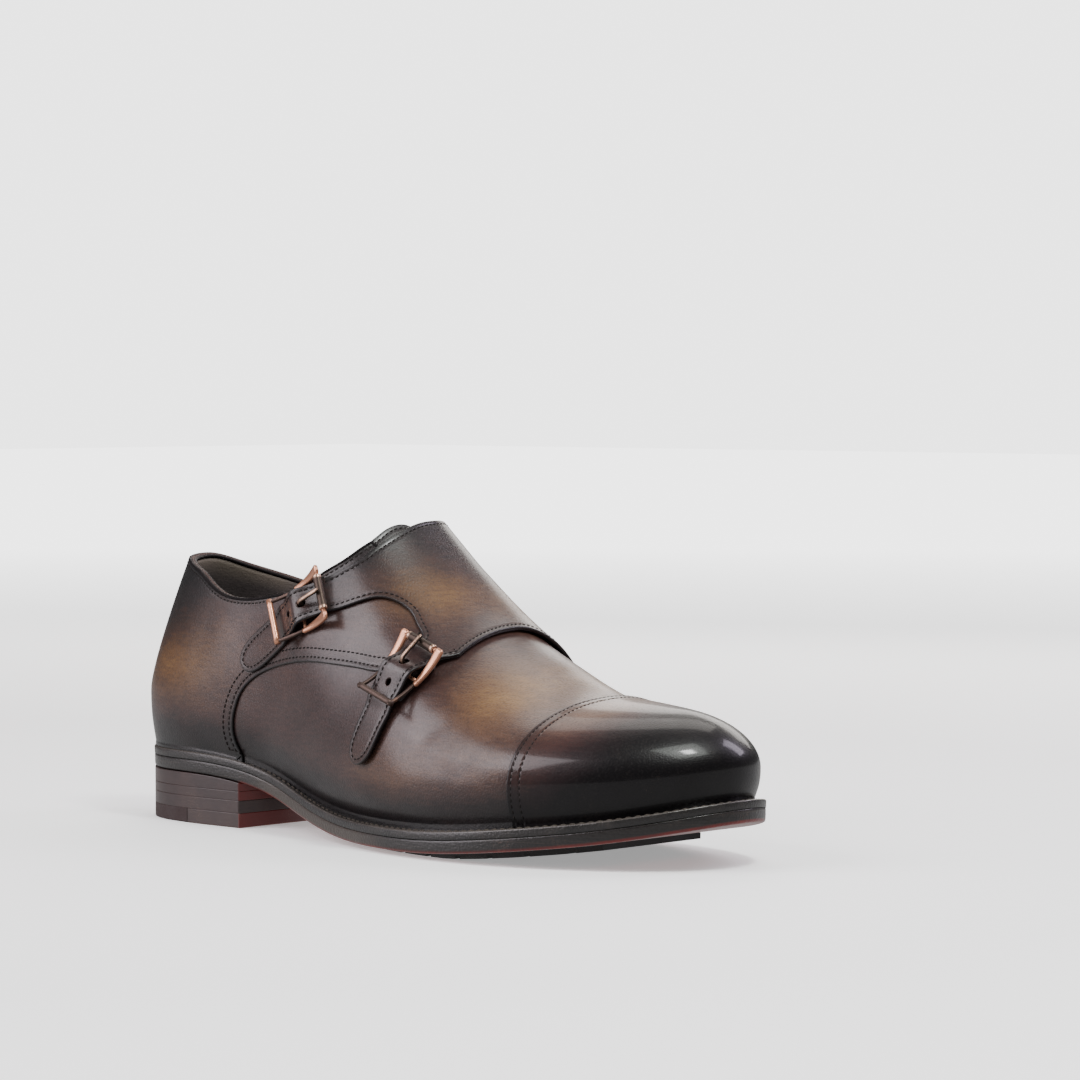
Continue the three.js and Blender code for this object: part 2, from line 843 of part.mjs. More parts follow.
// ---- flap and straps
function liftAt(x, w) {
  const p = across(x, w, 0);
  let lift = 0;
  for (const f of frames) {
    const d = p.clone().sub(f.origin);
    const s = d.dot(f.along);
    const b = Math.abs(d.dot(f.side));
    const beside = 1 - smooth(b, strapLift.side, strapLift.sideEnd);
    const onTab = strapLift.tab * (1 - smooth(Math.abs(s), strapLift.flat, strapLift.end));
    const overBar = strapLift.hump * Math.exp(-((s / strapLift.humpLength) ** 2));
    if (d.length() < 2 * strapLift.end) {
      lift = Math.max(lift, beside * (onTab + overBar));
    }
  }
  return lift;
}

const flapScale = 100; // stretches the way across, so that the flat outline has even proportions
const flapBase = wall + 2 * gap;

// both edges of a strap, from the flap round the tip and back: right of the middle line, then left
function strapEdges(frame) {
  const edges = [[], []];
  for (const [along, beside, half] of strapRows[frame.name]) {
    edges[0].push(surfaceUnder(frame, along, beside - half));
    if (half > 0) {
      edges[1].unshift(surfaceUnder(frame, along, beside + half));
    }
  }
  return [...edges[0], ...edges[1]];
}

function outlineShape(rows) {
  const knots = rows.map(([x, w]) => new THREE.Vector3(x, w * flapScale, 0));
  const curve = new THREE.CatmullRomCurve3(knots, true, 'centripetal');
  const points = curve.getPoints(rows.length * 2).slice(0, -1);
  return new THREE.Shape(points.map((p) => new THREE.Vector2(p.x, p.y)));
}

function holeAt(frame, s, radius) {
  const [x, w] = surfaceUnder(frame, s, 0);
  const [x1, w1] = surfaceUnder(frame, s + 1, 0);
  const [x2, w2] = surfaceUnder(frame, s, 1);
  const corners = 8;
  const points = [];
  for (let i = 0; i < corners; i++) {
    const a = (2 * Math.PI * i) / corners;
    const u = radius * Math.cos(a);
    const v = radius * Math.sin(a);
    const px = x + (x1 - x) * u + (x2 - x) * v;
    const pw = w + (w1 - w) * u + (w2 - w) * v;
    points.push(new THREE.Vector2(px, pw * flapScale));
  }
  return new THREE.Path(points);
}

function makeFlap() {
  const [upperEdges, lowerEdges] = frames.map(strapEdges);
  const shape = outlineShape([...upperEdges, ...flapTop, ...lowerEdges, ...flapScallop]);
  for (const f of frames) {
    shape.holes.push(holeAt(f, strapHole.fromBar, strapHole.radius));
    shape.holes.push(holeAt(f, strapHole.spareFromBar, strapHole.spareRadius));
  }
  const fine = 4.8;
  const coarse = 14;
  const limitAt = (p) => (liftAt(p.x, p.y / flapScale) > 0.05 ? fine : coarse);
  return laidPiece(shape, limitAt, (x, y, depth) => {
    const w = y / flapScale;
    return across(x, w, flapBase + liftAt(x, w) + depth * flapThick);
  });
}

function makeTongue() {
  return laidPiece(outlineShape(tongueOutline), () => 12, (x, y, depth) => (
    across(x, y / flapScale, THREE.MathUtils.lerp(tongue.inner, tongue.outer, depth))));
}

addPiece('flap_with_straps', makeFlap(), looks.strap);
addPiece('tongue', makeTongue(), looks.lining);

// ---- buckle tabs: a slotted leather loop under each centre bar
function makeTab(frame) {
  const shape = new THREE.Shape();
  const [l, w] = [tab.length / 2, tab.width / 2];
  shape.moveTo(-l, -w).lineTo(l, -w).lineTo(l, w).lineTo(-l, w);
  const slot = new THREE.Path();
  const [sl, sw] = [tab.slotLength / 2, tab.slotWidth / 2];
  slot.moveTo(-sl, -sw).lineTo(-sl, sw).lineTo(sl, sw).lineTo(sl, -sw);
  shape.holes.push(slot);
  return laidPiece(shape, () => 6, (s, b, depth) => {
    const [x, across1] = surfaceUnder(frame, s, b);
    return across(x, across1, THREE.MathUtils.lerp(tab.inner, tab.outer, depth));
  });
}

// ---- buckles, built flat along local X, width along Y, height Z, then laid on the strap
const bowAt = (s) => buckle.bow * (s / (buckle.length / 2)) ** 2;

function barAcross(s, radius, length) {
  const bar = new THREE.CylinderGeometry(radius, radius, length, 10);
  return tidy(bar).translate(s, 0, buckle.barHeight + bowAt(s));
}

function sideBar(y) {
  const [w, t] = [buckle.side / 2, buckle.sideThick / 2];
  const chamfer = 0.45;
  const section = new THREE.Shape([
    new THREE.Vector2(-t, -w),
    new THREE.Vector2(t - chamfer, -w),
    new THREE.Vector2(t, -w + chamfer),
    new THREE.Vector2(t, w - chamfer),
    new THREE.Vector2(t - chamfer, w),
    new THREE.Vector2(-t, w),
  ]);
  const reach = buckle.length / 2 + buckle.barRadius + 0.4;
  const points = [-1, -0.5, 0, 0.5, 1].map((k) => (
    new THREE.Vector3(k * reach, y, buckle.barHeight + bowAt(k * reach))));
  const path = new THREE.CatmullRomCurve3(points);
  return tidy(new THREE.ExtrudeGeometry(section, { steps: 8, extrudePath: path, bevelEnabled: false }));
}

function intoPlace(geometry, frame) {
  const turn = new THREE.Matrix4().makeBasis(frame.along, frame.side, frame.normal);
  turn.setPosition(frame.origin);
  return geometry.applyMatrix4(turn);
}

function makeBuckle(frame) {
  const half = buckle.length / 2;
  let body = solid(sideBar(buckle.width / 2)).add(solid(sideBar(-buckle.width / 2)));
  for (const s of [-half, 0, half]) {
    const radius = s < 0 ? buckle.barRadius + 0.3 : buckle.barRadius;
    body = body.add(solid(barAcross(s, radius, buckle.width)));
  }
  return intoPlace(geometryOf(body), frame);
}

function ringAcross(inner, outer, length, s) {
  const l = length / 2;
  const profile = [[inner, -l], [outer, -l], [outer, l], [inner, l], [inner, -l]];
  const ring = tidy(new THREE.LatheGeometry(profile.map(([r, y]) => new THREE.Vector2(r, y)), 12));
  return ring.translate(s, 0, buckle.barHeight + bowAt(s));
}

function makeRoller(frame) {
  const roller = ringAcross(buckle.rollerInner, buckle.rollerOuter, buckle.rollerLength, buckle.length / 2);
  return intoPlace(roller, frame);
}

// the prong turns on the centre bar, comes up through the strap's hole and rests on the roller
function makeProng(frame) {
  const eyeInner = buckle.barRadius + 0.25;
  const eye = solid(ringAcross(eyeInner, eyeInner + 0.6, 2 * buckle.prongWide, 0));
  const half = buckle.length / 2;
  const base = buckle.barHeight;
  const restZ = base + bowAt(half) + buckle.rollerOuter + 1.5 * gap + buckle.prongThick / 2;
  const stem = [
    new THREE.Vector3(1.3, 0, base + 0.5),
    new THREE.Vector3(2.3, 0, base + 2.6),
    new THREE.Vector3(3.6, 0, restZ - 0.6),
    new THREE.Vector3(half - 4, 0, restZ),
    new THREE.Vector3(half + 1.6, 0, restZ),
  ];
  const [w, t] = [buckle.prongWide / 2, buckle.prongThick / 2];
  const section = new THREE.Shape([
    new THREE.Vector2(-t, -w),
    new THREE.Vector2(t, -w),
    new THREE.Vector2(t, w),
    new THREE.Vector2(-t, w),
  ]);
  const path = new THREE.CatmullRomCurve3(stem);
  const bar = tidy(new THREE.ExtrudeGeometry(section, { steps: 12, extrudePath: path, bevelEnabled: false }));
  return intoPlace(geometryOf(eye.add(solid(bar))), frame);
}

for (const frame of frames) {
  addPiece(`buckle_tab_${frame.name}`, makeTab(frame), looks.strap);
  addPiece(`buckle_frame_${frame.name}`, makeBuckle(frame), looks.copper);
  addPiece(`buckle_roller_${frame.name}`, makeRoller(frame), looks.bronze);
  addPiece(`buckle_prong_${frame.name}`, makeProng(frame), looks.bronze);
}

export default shoe;
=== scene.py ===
import math

import bpy
import numpy as np
from mathutils import Matrix, Vector
from mathutils.geometry import delaunay_2d_cdt


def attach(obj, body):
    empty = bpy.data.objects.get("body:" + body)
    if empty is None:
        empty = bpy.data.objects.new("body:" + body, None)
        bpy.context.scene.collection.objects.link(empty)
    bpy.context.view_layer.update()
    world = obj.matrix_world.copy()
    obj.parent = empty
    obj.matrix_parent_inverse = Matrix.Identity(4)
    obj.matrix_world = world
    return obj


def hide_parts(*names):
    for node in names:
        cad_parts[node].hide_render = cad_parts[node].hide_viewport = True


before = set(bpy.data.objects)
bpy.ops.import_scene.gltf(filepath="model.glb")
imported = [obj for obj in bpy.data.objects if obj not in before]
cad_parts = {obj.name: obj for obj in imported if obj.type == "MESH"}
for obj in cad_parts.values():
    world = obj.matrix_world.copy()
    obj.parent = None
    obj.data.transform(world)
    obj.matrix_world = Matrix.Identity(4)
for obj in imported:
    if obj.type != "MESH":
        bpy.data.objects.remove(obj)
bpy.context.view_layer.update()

for spare in ("Cube", "Light", "Camera"):  # the startup scene's own objects
    if spare in bpy.data.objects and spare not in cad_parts:
        bpy.data.objects.remove(bpy.data.objects[spare])

# Sizes are in millimetres, x from the back of the sole, +Y the inner side, until a mesh is made.
millimetre = 0.001
heelRestX = 36.0  # the part's origin lies this far from the back of the sole
tiny = 1e-12  # keeps a division from failing

# ---- the last: one surface that every leather piece is laid on
last = {
    # feather line: x, y, bulge, height of the widest point, handles up and in to the ridge
    "feather": [
        [5.5, 0, 1.6, 19, 0.12, 0.20],
        [14, -18.6, 1.8, 19, 0.13, 0.22],
        [32, -26.1, 2.4, 19, 0.20, 0.35],
        [58, -27.6, 3.4, 19, 0.34, 0.53],
        [88, -28.0, 4.6, 20, 0.46, 0.62],
        [118, -33.2, 5.2, 19, 0.486, 0.629],
        [146, -39.6, 5.0, 17, 0.435, 0.631],
        [172, -45.5, 4.0, 15, 0.535, 0.617],
        [198, -48.0, 3.2, 13, 0.505, 0.597],
        [224, -45.7, 2.8, 12, 0.56, 0.60],
        [248, -38.3, 2.4, 11, 0.545, 0.575],
        [267, -28.4, 2.0, 10, 0.52, 0.53],
        [281.8, -14.9, 1.8, 9.5, 0.50, 0.50],
        [289.3, 3, 1.6, 9.5, 0.50, 0.50],
        [283.8, 18.6, 1.8, 9.5, 0.50, 0.50],
        [270, 29.4, 2.0, 10, 0.52, 0.53],
        [248.4, 37.2, 2.4, 11, 0.545, 0.575],
        [225, 41.6, 2.8, 12, 0.56, 0.60],
        [202, 41.6, 3.2, 14, 0.512, 0.63],
        [176, 36.2, 4.5, 18, 0.67, 0.68],
        [148, 28, 6.5, 24, 0.66, 0.745],
        [118, 22.4, 8.0, 26, 0.556, 0.663],
        [90, 22, 7.0, 24, 0.47, 0.62],
        [60, 25.2, 4.5, 21, 0.34, 0.54],
        [33, 25.8, 2.8, 20, 0.21, 0.36],
        [14, 18.2, 1.8, 19, 0.13, 0.22],
    ],
    "toeRow": 13,
    # ridge along the instep: x, y, z
    "ridge": [
        [52, 0, 155],
        [80, 2, 158],
        [104, 4, 145],
        [125, 8, 124.5],
        [150, 9.5, 99.3],
        [175, 10.2, 78.8],
        [200, 8.8, 66.2],
        [222, 8, 56.7],
        [245, 6.5, 53.5],
        [266, 5, 51.8],
    ],
    # top of the welt: x, z
    "tread": [
        [-6, 29.0],
        [0, 28.7],
        [30, 28.3],
        [62, 27.2],
        [88, 22.6],
        [115, 15.0],
        [140, 10.8],
        [165, 10.0],
        [190, 10.4],
        [215, 12.2],
        [240, 14.9],
        [265, 18.3],
        [285, 22.3],
        [300, 26.0],
    ],
    "insole": 3.0,
    "wideV": 0.22,
    "ridgeBack": (52.0, 14.0),  # where the ridge's x stops following, and how softly
    "ridgeFront": (266.0, 12.5),
    "handleOut": 0.55,
    "handleLow": 0.3,
    "handleHigh": 0.5,
    "footReach": 100.0,
    "topBlend": (0.96, 0.995),  # heights at which the ridge's own normal takes over
    "evenEnds": 12.0,  # next to the heel back and the toe the two sides run evenly
}
nudge = 0.5  # half a step, for slopes


def naturalSpline(xs, ys):
    xs = np.asarray(xs, float)
    ys = np.asarray(ys, float)
    flat = ys.ndim == 1
    ys = ys.reshape(len(xs), -1)
    n = len(xs)
    h = np.diff(xs)
    a = np.eye(n)
    r = np.zeros((n, ys.shape[1]))
    for i in range(1, n - 1):
        a[i, i - 1:i + 2] = h[i - 1], 2 * (h[i - 1] + h[i]), h[i]
        r[i] = 6 * ((ys[i + 1] - ys[i]) / h[i] - (ys[i] - ys[i - 1]) / h[i - 1])
    bend = np.linalg.solve(a, r)

    def value(x):
        x = np.asarray(x, float)
        i = np.clip(np.searchsorted(xs, x, side="right") - 1, 0, n - 2)
        p = ((xs[i + 1] - x) / h[i])[..., None]
        q = ((x - xs[i]) / h[i])[..., None]
        bent = ((p ** 3 - p) * bend[i] + (q ** 3 - q) * bend[i + 1]) * (h[i] ** 2 / 6)[..., None]
        out = p * ys[i] + q * ys[i + 1] + bent
        return out[..., 0] if flat else out

    return value


def smoothStep(x, low, high):
    t = np.clip((np.asarray(x, float) - low) / (high - low), 0, 1)
    return t * t * (3 - 2 * t)


# distance along a polyline, at each of its points
def runAlong(points):
    return np.r_[0, np.cumsum(np.linalg.norm(np.diff(points, axis=0), axis=1))]


def closedSpline(rows, wrap=6):
    rows = np.asarray(rows, float)
    n = len(rows)
    ring = np.vstack([rows, rows[:1]])
    chord = runAlong(ring[:, :2])
    index = np.arange(-wrap, n + wrap + 1)
    at = chord[index % n] + chord[-1] * (index // n)
    return naturalSpline(at, rows[index % n]), chord


featherSpline, chordRows = closedSpline(last["feather"])
around = chordRows[-1]
toeChord = chordRows[last["toeRow"]]
ridgeTable = np.array(last["ridge"], float)
ridgeSpline = naturalSpline(ridgeTable[:, 0], ridgeTable[:, 1:])
treadTable = np.array(last["tread"], float)
treadZ = naturalSpline(treadTable[:, 0], treadTable[:, 1])


def feather(q):
    return featherSpline(np.mod(q, around))


def ridgeX(x):
    back, backSoft = last["ridgeBack"]
    front, frontSoft = last["ridgeFront"]
    lifted = back + backSoft * np.log1p(np.exp((x - back) / backSoft))
    return front - frontSoft * np.log1p(np.exp((front - lifted) / frontSoft))


def ridgeSlope(x):
    return (ridgeSpline(x + nudge)[..., 1] - ridgeSpline(x - nudge)[..., 1]) / (2 * nudge)


def bezier(a, b, c, d, t):
    s = 1 - t
    return s ** 3 * a + 3 * s * s * t * b + 3 * s * t * t * c + t ** 3 * d


# q is the distance round the feather line (outer side first), v goes from it up to the ridge
def lastPoint(q, v):
    f = feather(q)
    x, y, bulge, wideAt, rise, reach = [f[..., k] for k in range(6)]
    rx = ridgeX(x)
    ridge2 = ridgeSpline(rx)
    zero = np.zeros_like(x)
    up = np.stack([zero, zero, zero + 1], -1)
    foot = np.stack([x, y, treadZ(x) + last["insole"]], -1)
    ridge = np.stack([rx, ridge2[..., 0], ridge2[..., 1]], -1)
    out = np.stack([x - rx, y - ridge2[..., 0], zero], -1)
    length = np.linalg.norm(out, axis=-1)
    out = out / length[..., None]
    wide = foot + out * bulge[..., None] + up * wideAt[..., None]
    low = foot + out * (bulge * last["handleOut"])[..., None] + up * (wideAt * last["handleLow"])[..., None]
    high = wide - up * (wideAt * last["handleHigh"])[..., None]
    lift = wide + up * ((ridge[..., 2] - wide[..., 2]) * rise)[..., None]
    along = np.stack([out[..., 0], out[..., 1], ridgeSlope(rx) * out[..., 0]], -1)
    tip = ridge + along * ((length + bulge) * reach)[..., None]
    wideV = last["wideV"]
    v = np.asarray(v, float)
    # below the feather line the wall goes straight down to the welt
    foot = foot + up * (np.minimum(v, 0) * last["footReach"])[..., None]
    a = np.clip(v / wideV, 0, 1)[..., None]
    b = np.clip((v - wideV) / (1 - wideV), 0, 1)[..., None]
    wall = bezier(foot, low, high, wide, a)
    return np.where((v < wideV)[..., None], wall, bezier(wide, lift, tip, ridge, b))


def lastNormal(q, v):
    dq, dv = 0.2, 0.001
    at = np.clip(v, 2 * dv, 1 - dv)
    along = lastPoint(q + dq, at) - lastPoint(q - dq, at)
    upward = lastPoint(q, at + dv) - lastPoint(q, at - dv)
    normal = np.cross(along, upward)
    normal /= np.linalg.norm(normal, axis=-1, keepdims=True)
    slope = ridgeSlope(ridgeX(feather(q)[..., 0]))
    top = np.stack([-slope, np.zeros_like(slope), np.ones_like(slope)], -1)
    top /= np.linalg.norm(top, axis=-1, keepdims=True)
    mix = smoothStep(v, *last["topBlend"])[..., None]
    normal = normal * (1 - mix) + top * mix
    return normal / np.linalg.norm(normal, axis=-1, keepdims=True)


# u is the outer side's distance from the heel; the inner side's place has the same feather x
fineU = np.linspace(0, toeChord, 3001)
outerX = feather(fineU)[:, 0]
fineQ = np.linspace(around, toeChord, 6001)
innerX = np.maximum.accumulate(feather(fineQ)[:, 0])
innerOf = np.interp(np.maximum.accumulate(outerX), innerX, fineQ)
even = last["evenEnds"]
backEven, toeEven = np.interp([even, toeChord - even], fineU, innerOf)
innerOf = np.where(fineU < even, around + (backEven - around) * fineU / even, innerOf)
toToe = toeChord - fineU
innerOf = np.where(toToe < even, toeChord + (toeEven - toeChord) * toToe / even, innerOf)


def chordOf(u, w):
    inner = np.interp(u, fineU, innerOf)
    inner = np.where(u < 0, around - u, np.where(u > toeChord, 2 * toeChord - u, inner))
    return np.where(w <= 1, u, inner), np.where(w <= 1, w, 2 - w)


def uAt(x):
    return np.interp(x, np.maximum.accumulate(outerX), fineU)


# u, w: w climbs the outer side from 0 to 1 and goes down the inner side from 1 to 2
def surface(u, w, off=0.0):
    u, w = np.broadcast_arrays(np.asarray(u, float), np.asarray(w, float))
    q, v = chordOf(u, w)
    return lastPoint(q, v) + lastNormal(q, v) * np.asarray(off, float)[..., None]


def surfaceNormal(u, w):
    u, w = np.broadcast_arrays(np.asarray(u, float), np.asarray(w, float))
    q, v = chordOf(u, w)
    return lastNormal(q, v)


print("last ready")

# ---- camera
camera = {"azimuth": 44.0, "elevation": 5.4, "distance": 1.5, "target": (0.114, 0.0, 0.030),
          "lens": 132.25, "sensor": 36.0, "shift": (0.0911, 0.203), "near": 0.05}


def makeCamera(c):
    a, e = math.radians(c["azimuth"]), math.radians(c["elevation"])
    back = Vector((math.sin(a) * math.cos(e), -math.cos(a) * math.cos(e), math.sin(e)))
    right = Vector((math.cos(a), math.sin(a), 0))
    upward = back.cross(right)
    data = bpy.data.cameras.new("camera")
    data.lens = c["lens"]
    data.sensor_width = c["sensor"]
    data.shift_x, data.shift_y = c["shift"]
    data.clip_start = c["near"]
    cam = bpy.data.objects.new("camera", data)
    turn = Matrix((right, upward, back)).transposed().to_4x4()
    cam.matrix_world = Matrix.Translation(Vector(c["target"]) + back * c["distance"]) @ turn
    bpy.context.scene.collection.objects.link(cam)
    bpy.context.scene.camera = cam


makeCamera(camera)


# ---- meshes
def toMetres(points):
    p = np.asarray(points, float) * millimetre
    p[..., 0] -= heelRestX * millimetre
    return p


def addMesh(name, points, faces, material, normals=None, values=None):
    mesh = bpy.data.meshes.new(name)
    mesh.from_pydata(toMetres(points).tolist(), [], [list(map(int, f)) for f in faces])
    mesh.update()
    mesh.polygons.foreach_set("use_smooth", [True] * len(mesh.polygons))
    for key, data in (values or {}).items():
        layer = mesh.attributes.new(key, "FLOAT", "POINT")
        layer.data.foreach_set("value", np.asarray(data, np.float32))
    if normals is not None:
        auto = np.zeros(len(points) * 3, np.float32)
        mesh.vertex_normals.foreach_get("vector", auto)
        auto = auto.reshape(-1, 3)
        known = np.isfinite(normals[:, 0])
        auto[known] = normals[known]
        mesh.normals_split_custom_set_from_vertices(auto.tolist())
    mesh.materials.append(material)
    piece = bpy.data.objects.new(name, mesh)
    bpy.context.scene.collection.objects.link(piece)
    return piece


def place(piece, slotName, *replaced):
    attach(piece, "root")
    if replaced:
        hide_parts(*replaced)
    return piece


# quads between equal rows of vertices
def gridFaces(rows, columns, closeColumns=False, closeRows=False, start=0):
    r = np.arange(rows if closeRows else rows - 1)
    c = np.arange(columns if closeColumns else columns - 1)
    r, c = np.meshgrid(r, c, indexing="ij")
    r2, c2 = (r + 1) % rows, (c + 1) % columns
    quads = np.stack([r * columns + c, r * columns + c2, r2 * columns + c2, r2 * columns + c], -1)
    return (quads.reshape(-1, 4) + start).tolist()


# turns a closed mesh's faces outward
def facingOut(points, faces):
    volume = 0.0
    for f in faces:
        p = points[list(f)]
        volume += (np.cross(p[1:-1], p[2:]) @ p[0]).sum()
    return faces if volume > 0 else [f[::-1] for f in faces]


# joins vertices that share a place and drops faces that have shrunk
def weld(points, faces, values=None, tolerance=1e-3):
    key = np.round(np.asarray(points) / tolerance).astype(np.int64)
    first, inverse = np.unique(key, axis=0, return_index=True, return_inverse=True)[1:]
    inverse = inverse.reshape(-1)
    kept = []
    for face in faces:
        ring = []
        for k in face:
            j = int(inverse[k])
            if not ring or ring[-1] != j:
                ring.append(j)
        if len(ring) > 1 and ring[0] == ring[-1]:
            ring.pop()
        if len(set(ring)) == len(ring) >= 3:
            kept.append(ring)
    values = {k: np.asarray(d)[first] for k, d in (values or {}).items()}
    return np.asarray(points)[first], kept, values


# ---- local frames on the surface, for buckles, straps and stitches
buckleTable = {
    "upper": {"x": 112.5, "w": 0.483, "towardX": 127.0, "towardW": 0.605},
    "lower": {"x": 168.0, "w": 0.560, "towardX": 170.5, "towardW": 0.655},
}


def buckleFrame(row):
    u, w = float(uAt(row["x"])), row["w"]
    origin = surface(u, w)
    normal = surfaceNormal(u, w)
    along = surface(float(uAt(row["towardX"])), row["towardW"]) - origin
    along -= normal * along.dot(normal)
    along /= np.linalg.norm(along)
    side = np.cross(normal, along)
    return {"u": u, "w": w, "origin": origin, "normal": normal, "along": along, "side": side}


frames = {name: buckleFrame(row) for name, row in buckleTable.items()}


# u, w of the points that lie at s along and b beside a frame's origin
def surfaceUnder(f, s, b):
    s, b = np.broadcast_arrays(np.asarray(s, float), np.asarray(b, float))
    u = np.full(s.shape, f["u"])
    w = np.full(s.shape, f["w"])

    def local(pu, pw):
        d = surface(pu, pw) - f["origin"]
        return d @ f["along"] - s, d @ f["side"] - b

    stepU, stepW, rounds = 0.5, 0.005, 8
    for _ in range(rounds):
        fs, fb = local(u, w)
        us, ub = local(u + stepU, w)
        ws, wb = local(u, w + stepW)
        a, c = (us - fs) / stepU, (ub - fb) / stepU
        p, r = (ws - fs) / stepW, (wb - fb) / stepW
        det = a * r - p * c
        u = u - (fs * r - fb * p) / det
        w = w - (a * fb - c * fs) / det
    return u, w


strapLift = {
    "tab": 1.5,
    "hump": 3.3,
    "humpLength": 4.8,
    "flat": 9.5,
    "end": 15.0,
    "side": 9.0,
    "sideEnd": 13.0,
}


# how far the straps stand off where they pass over the tabs and the centre bars
def liftAt(u, w):
    p = surface(u, w)
    lift = np.zeros(p.shape[:-1])
    for f in frames.values():
        d = p - f["origin"]
        s, b = d @ f["along"], np.abs(d @ f["side"])
        beside = 1 - smoothStep(b, strapLift["side"], strapLift["sideEnd"])
        onTab = strapLift["tab"] * (1 - smoothStep(np.abs(s), strapLift["flat"], strapLift["end"]))
        overBar = strapLift["hump"] * np.exp(-(s / strapLift["humpLength"]) ** 2)
        near = np.linalg.norm(d, axis=-1) < 2 * strapLift["end"]
        lift = np.maximum(lift, np.where(near, beside * (onTab + overBar), 0))
    return lift


# ---- curves in u, w
outlineStep = 0.8


def smoothCurve(rows, closed=False):
    rows = np.asarray(rows, float)
    scaled = surface(rows[:, 0], rows[:, 1])
    if closed:
        rows = np.vstack([rows, rows[:1]])
        scaled = np.vstack([scaled, scaled[:1]])
    at = runAlong(scaled)
    if closed:
        wrap = 5
        n = len(rows) - 1
        index = np.arange(-wrap, n + wrap + 1)
        spline = naturalSpline(at[index % n] + at[-1] * (index // n), rows[index % n])
    else:
        spline = naturalSpline(at, rows)
    count = max(8, int(at[-1] / outlineStep))
    return spline(np.linspace(0, at[-1], count, endpoint=not closed))


# spreads the points of a polyline evenly over the surface
def evenly(points, step, closed=False):
    points = np.asarray(points, float)
    if closed:
        points = np.vstack([points, points[:1]])
    place3 = surface(points[:, 0], points[:, 1])
    at = runAlong(place3)
    count = max(3, int(round(at[-1] / step)))
    t = np.linspace(0, at[-1], count, endpoint=not closed)
    return np.stack([np.interp(t, at, points[:, k]) for k in (0, 1)], -1)


# moves a curve sideways over the surface, to the left of its direction
def shifted(points, distance, closed=False):
    u, w = points[:, 0], points[:, 1]
    place3 = surface(u, w)
    if closed:
        tangent = np.roll(place3, -1, 0) - np.roll(place3, 1, 0)
    else:
        tangent = np.gradient(place3, axis=0)
    tangent /= np.linalg.norm(tangent, axis=1, keepdims=True) + tiny
    left = np.cross(surfaceNormal(u, w), tangent) * np.asarray(distance, float).reshape(-1, 1)
    eu, ew = 0.25, 0.002
    du = (surface(u + eu, w) - surface(u - eu, w)) / (2 * eu)
    dw = (surface(u, w + ew) - surface(u, w - ew)) / (2 * ew)
    a, b, c = (du * du).sum(1), (du * dw).sum(1), (dw * dw).sum(1)
    p, r = (du * left).sum(1), (dw * left).sum(1)
    det = a * c - b * b
    return np.stack([u + (p * c - r * b) / det, w + (a * r - b * p) / det], -1)


def insidePolygon(points, polygon):
    x, y = points[:, 0][:, None], points[:, 1][:, None]
    x1, y1 = polygon[:, 0][None], polygon[:, 1][None]
    x2, y2 = np.roll(polygon[:, 0], -1)[None], np.roll(polygon[:, 1], -1)[None]
    crosses = (y1 > y) != (y2 > y)
    at = x1 + (y - y1) * (x2 - x1) / np.where(np.abs(y2 - y1) < tiny, tiny, y2 - y1)
    return (crosses & (x < at)).sum(1) % 2 == 1


def nearest(points, cloud, block=4000):
    out = np.empty(len(points))
    for k in range(0, len(points), block):
        d = points[k:k + block, None] - cloud[None]
        out[k:k + block] = np.sqrt((d * d).sum(-1).min(1))
    return out


# the true normal of a face that stands off the last by offAt
def panelNormal(u, w, offAt):
    eu, ew = 0.3, 0.003
    along = surface(u + eu, w, offAt(u + eu, w)) - surface(u - eu, w, offAt(u - eu, w))
    upward = surface(u, w + ew, offAt(u, w + ew)) - surface(u, w - ew, offAt(u, w - ew))
    normal = np.cross(along, upward)
    return normal / (np.linalg.norm(normal, axis=-1, keepdims=True) + tiny)


chartScale = 100.0  # evens out u and w before triangulating
chartShape = np.array([1.0, chartScale])

panelLook = {
    # distances of the fine rings that run along a leather edge and round a hole, and how round these are
    "rings": [0.0, 0.1, 0.25, 0.5, 0.85, 1.2, 1.55, 1.95, 2.6, 3.4],
    "round": 0.42,
    "holeRings": [0.0, 0.12, 0.3, 0.7],
    "holeRound": 0.3,
    "grooveHalf": 0.38,
    "pucker": 0.28,  # how much the thread pinches the groove at each stitch
    "clear": 0.45,  # no grid point nearer to a ring than this part of the spacing
    "thinnest": 0.5,
    "inked": (0.12, 0.55),
    "shade": 0.20,  # darker towards the edge
    "shadeReach": 2.6,
}


def dropAt(d, radius):
    return radius - np.sqrt(np.maximum(0, radius ** 2 - np.maximum(0, radius - np.asarray(d, float)) ** 2))


# rings that follow the outline inward, sunk at the edge and in the stitch groove
def edgeRings(outline, groove):
    look = panelLook
    runs = runAlong(surface(outline[:, 0], outline[:, 1]))
    rings, downs = [], []
    for d in look["rings"]:
        down = np.full(len(outline), dropAt(d, look["round"]))
        if groove is not None:
            at, depth, pitch = groove
            pucker = 1 - look["pucker"] * (1 - np.cos(2 * np.pi * runs / pitch))
            down = down + depth * math.exp(-((d - at) / look["grooveHalf"]) ** 2) * pucker
        rings.append(shifted(outline, d, True))
        downs.append(down)
    return rings, downs


# grid points of the inside, clear of the rings that bound it
def insideGrid(bounds, spacing):
    inner = bounds[0]
    low, high = inner.min(0), inner.max(0)
    gu = np.arange(low[0], high[0], spacing)
    gw = np.arange(low[1], high[1], spacing / chartScale)
    grid = np.stack(np.meshgrid(gu, gw, indexing="ij"), -1)
    grid[1::2, :, 1] += spacing / chartScale / 2
    grid = grid.reshape(-1, 2)
    grid = grid[insidePolygon(grid * chartShape, inner * chartShape)]
    away = nearest(grid * chartShape, np.vstack(bounds) * chartShape)
    grid = grid[away > spacing * panelLook["clear"]]
    for loop in bounds[1:]:
        grid = grid[~insidePolygon(grid * chartShape, loop * chartShape)]
    return grid


